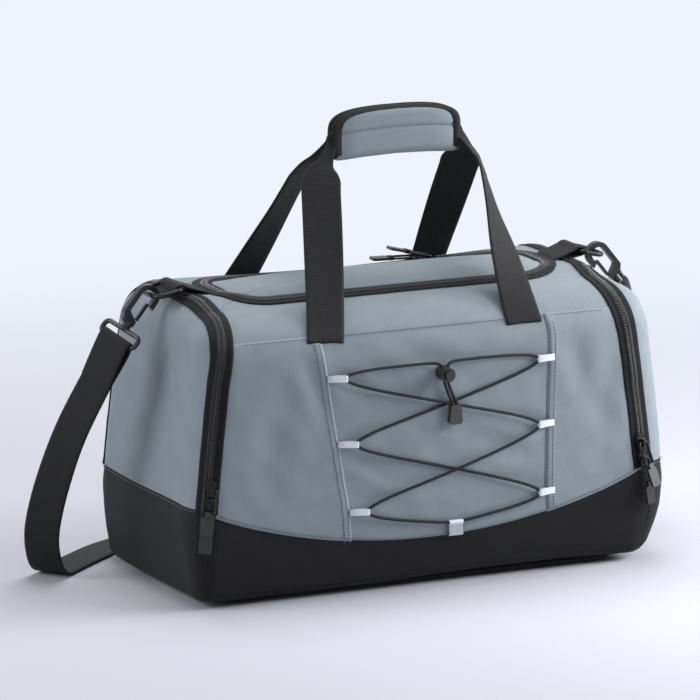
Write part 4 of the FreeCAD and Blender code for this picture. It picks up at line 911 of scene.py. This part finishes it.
def gripHalf(name, side):
    # a padded flap: rings of its outline whose face swells to the middle, with binding round the top and sides
    g = gripStyle
    halfX, halfZ = (g["right"] - g["left"]) / 2, (g["high"] - g["low"]) / 2
    cx, cz = (g["right"] + g["left"]) / 2, (g["high"] + g["low"]) / 2
    t = np.linspace(0, 2 * np.pi, 160, endpoint=False)
    ex, ez = gripOutline(t)
    k = np.concatenate([np.linspace(0.001, 0.86, 16), np.linspace(0.9, 1.0, 6)])
    x = cx + halfX * ex[None] * k[:, None]
    z0 = halfZ * ez[None] * k[:, None]
    bow = g["bow"] * (1 - ((x - cx) / halfX) ** 2)
    z = cz + z0 + bow - 2.0
    face = g["thick"] * (1 - np.clip((k[:, None] - 0.55) / 0.45, 0, 1) ** 3 * 0.75) + 0 * x
    groove = 1.3 * np.exp(-((z0 - 4.0) / 2.0) ** 2)
    y = side * (2.6 + face - groove * (k[:, None] < 0.93))
    front = np.stack([x, y, z], 2)
    inner = np.stack([x[-1], np.full(160, side * 2.4), z[-1]], 1)[None]
    pad = gridPiece(name, np.concatenate([front, inner]), greyTwill, aroundColumns=True, flip=side < 0)
    # binding: a folded tape over the edge, from one lower corner over the top to the other
    bx, bz = gripOutline(np.linspace(-0.42, np.pi + 0.42, 130))
    edge = np.stack([cx + halfX * bx, 0 * bx, cz + halfZ * bz + g["bow"] * (1 - bx ** 2) - 2.0], 1)
    along = unit(np.gradient(edge, axis=0))
    inward = np.stack([along[:, 2], 0 * along[:, 0], -along[:, 0]], 1)
    inward *= np.where(np.sum(inward * (np.array([cx, 0, cz]) - edge), 1) > 0, 1, -1)[:, None]
    depth = np.array([0.4, 3.0, 7.0, 9.0, 7.8, 2.6, -0.9, -0.9, 0.4])
    level = np.array([2.2, 2.2, 2.4, 6.4, 8.0, 7.6, 5.4, 3.4, 2.2])
    p = edge[:, None] + inward[:, None] * depth[None, :, None]
    p[..., 1] = side * level[None]
    tape = gridPiece(name + "Binding", p, bindingTape, flip=side > 0)
    sx = np.linspace(g["left"] + 8, g["right"] - 8, 60)
    sz = cz + 4.0 + g["bow"] * (1 - ((sx - cx) / halfX) ** 2) - 2.0
    pts = np.stack([sx, side * (2.6 + g["thick"] - 1.1) + 0 * sx, sz], 1)
    run = stitch(pts, np.tile([0.0, float(side), 0.0], (60, 1)), threadDark, 0.1, name + "Stitches")
    return joinPieces(name, [pad, tape, run])


for name, side, body in (("gripWrapFront", -1, "root"), ("gripWrapBack", 1, "grip_flap")):
    wrap = gripHalf(name, side)
    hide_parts("grip_wrap_front" if side < 0 else "grip_wrap_back")
    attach(wrap, body)
print("grip made")


# elastic cord and its loops

# control points of the cord, from the end clip up, through every loop in turn and back to the clip
cordRoute = [
    (22.8, -125.3, 177), (12.2, -125.3, 199), (12.2, -125.3, 217), (0, -123.3, 219.5), (-88.1, -122, 218),
    (-88.1, -122, 206), (21, -125.3, 178), (115.5, -124.3, 154), (115.5, -124.3, 142), (27.5, -127.5, 114),
    (-67.4, -126.6, 88), (-67.4, -126.6, 76), (14, -125.1, 62), (38, -125.1, 62.5), (115.5, -126.6, 76),
    (115.5, -126.6, 88), (27.5, -123.6, 114), (-77.9, -124.3, 142), (-77.9, -124.3, 154), (21, -121.4, 178),
    (115.5, -122, 206), (115.5, -122, 218), (28, -123.3, 220), (15.8, -125.3, 217), (15.8, -125.3, 199),
    (27.2, -125.3, 177),
]


def alongSpline(route, resolution):
    # points along the smooth NURBS line that has the route as its control points
    curve = bpy.data.curves.new("guide", "CURVE")
    curve.dimensions = "3D"
    spline = curve.splines.new("NURBS")
    spline.points.add(len(route) - 1)
    spline.points.foreach_set("co", np.array([(*p, 1.0) for p in route], np.float32).ravel())
    spline.order_u, spline.use_endpoint_u, spline.resolution_u = 3, True, resolution
    return finalPoints(bpy.data.objects.new("guide", curve))


def tube(name, line, radius, material):
    # a twelve-sided round section carried along a line on a frame that doesn't twist
    sides = 12
    along = unit(np.gradient(line, axis=0))
    level = np.tile([0.0, 1.0, 0.0], (len(line), 1))
    upT = unit(np.cross(along, level))
    sideT = np.cross(upT, along)
    a = np.arange(sides + 1) * 2 * np.pi / sides
    p = line[:, None] + (upT[:, None] * np.cos(a)[None, :, None] + sideT[:, None] * np.sin(a)[None, :, None]) * radius
    uv = np.stack([np.broadcast_to(a * radius, p.shape[:2]), np.repeat(runningLength(line)[:, None], sides + 1, 1)], 2)
    return gridPiece(name, p, material, uv=uv)


cordLine = alongSpline(cordRoute, 14)
cord = tube("elasticCord", resample(cordLine, 1.4), 1.5, cordCover)
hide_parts("elastic_cord")

loopPieces = []
a = np.linspace(-np.pi / 2, np.pi / 2, 9)
for height, cordY in ((212.0, -122.0), (148.0, -124.3), (82.0, -126.6)):
    for side in (-1, 1):
        # a bar from the seam out round the cord and back, as a line in X and Y carried along Z
        seam = 131.0 if side > 0 else float(pocketSeam(height))
        hole = seam - side * 15.5
        s = aroundAt(np.array([seam, hole]), height)
        skinY = float(bagSurface(s, heightUp(s, height))[0][0, 1]) - 1.2
        nose = np.stack([hole - side * 2.1 * np.cos(a), cordY + 2.1 * np.sin(a)], 1)
        line = np.concatenate([[[seam + side * 1.5, skinY - 0.5], [seam - side * 5, skinY - 1.6]], nose,
                               [[seam - side * 5, skinY + 0.4], [seam + side * 1.5, skinY + 0.4]]])
        line, z = np.broadcast_arrays(line[:, None], height + np.array([-3.1, -2.9, 2.9, 3.1])[None, :, None])
        bar = gridPiece("loopBar", np.concatenate([line, z[..., :1]], 2), reflective, flip=side < 0)
        loopPieces.append(thicken(bar, 0.7, 0.0))
hemY = -125.1
nose = np.stack([hemY - 2.2 * np.cos(a), 62.0 + 2.2 * np.sin(a)], 1)
line = np.concatenate([[[hemY + 4, 48.0], [hemY - 1.6, 50.0]], nose, [[hemY + 3.2, 61.0]]])
line, x = np.broadcast_arrays(line[:, None], 26.0 + np.array([-7.2, -6.9, 6.9, 7.2])[None, :, None])
loopPieces.append(thicken(gridPiece("loopHem", np.concatenate([x[..., :1], line], 2), reflective), 0.7, 0.0))
loops = joinPieces("cordLoops", loopPieces)
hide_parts("cord_loops")
print("cord made")


# ring tabs

for name, side in (("left", -1), ("right", 1)):
    path = [(182, 281.5), (186, 284), (194, 286.5), (204, 290), (209, 292.6), (214, 292.4), (216.2, 289), (214, 285.6),
            (208, 284.4), (198, 282.6), (188, 280.6)]
    rows = [(side * x, 0.0, z, 0.0, 1.0, 0.0, 38.0) for x, z in path]
    tab = ribbonMesh("ringTab" + name.title(), rows, 1.8, webbing, 6)
    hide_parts("ring_tab_" + name)
    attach(tab, "root")


# CAD pieces that keep their shape

sides = ("left", "right")
places = ("left_lower", "left_upper", "right_lower", "right_upper", "lid_first", "lid_second")
for material, starts, ends in (
    (hookPlastic, ("hook", "gate", "strap_loop"), sides), (ringMetal, ("d_ring",), sides),
    (ringMetal, ("slider", "pull_ring"), places), (pullPlastic, ("pull_tab",), places), (boardFelt, ("base",), ("board",)),
    (lockPlastic, ("cord",), ("lock", "lock_plunger")), (endPlastic, ("cord",), ("end",)),
):
    for name in [start + "_" + end for start in starts for end in ends]:
        nodes[name].data.materials.clear()
        nodes[name].data.materials.append(material)

bpy.data.objects.remove(master)
stitching = joinPieces("seamStitching", stitchParts)
for piece in (lining, *endWalls, skirt, bottomPiece, frontPanel, pocket, back, topBand, *endFlaps.values(), outerZip,
              backRun, stitching, strap, cord, loops):
    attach(piece, "root")
for piece in (lidPanel, innerZip):
    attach(piece, "lid")
print("pieces placed")
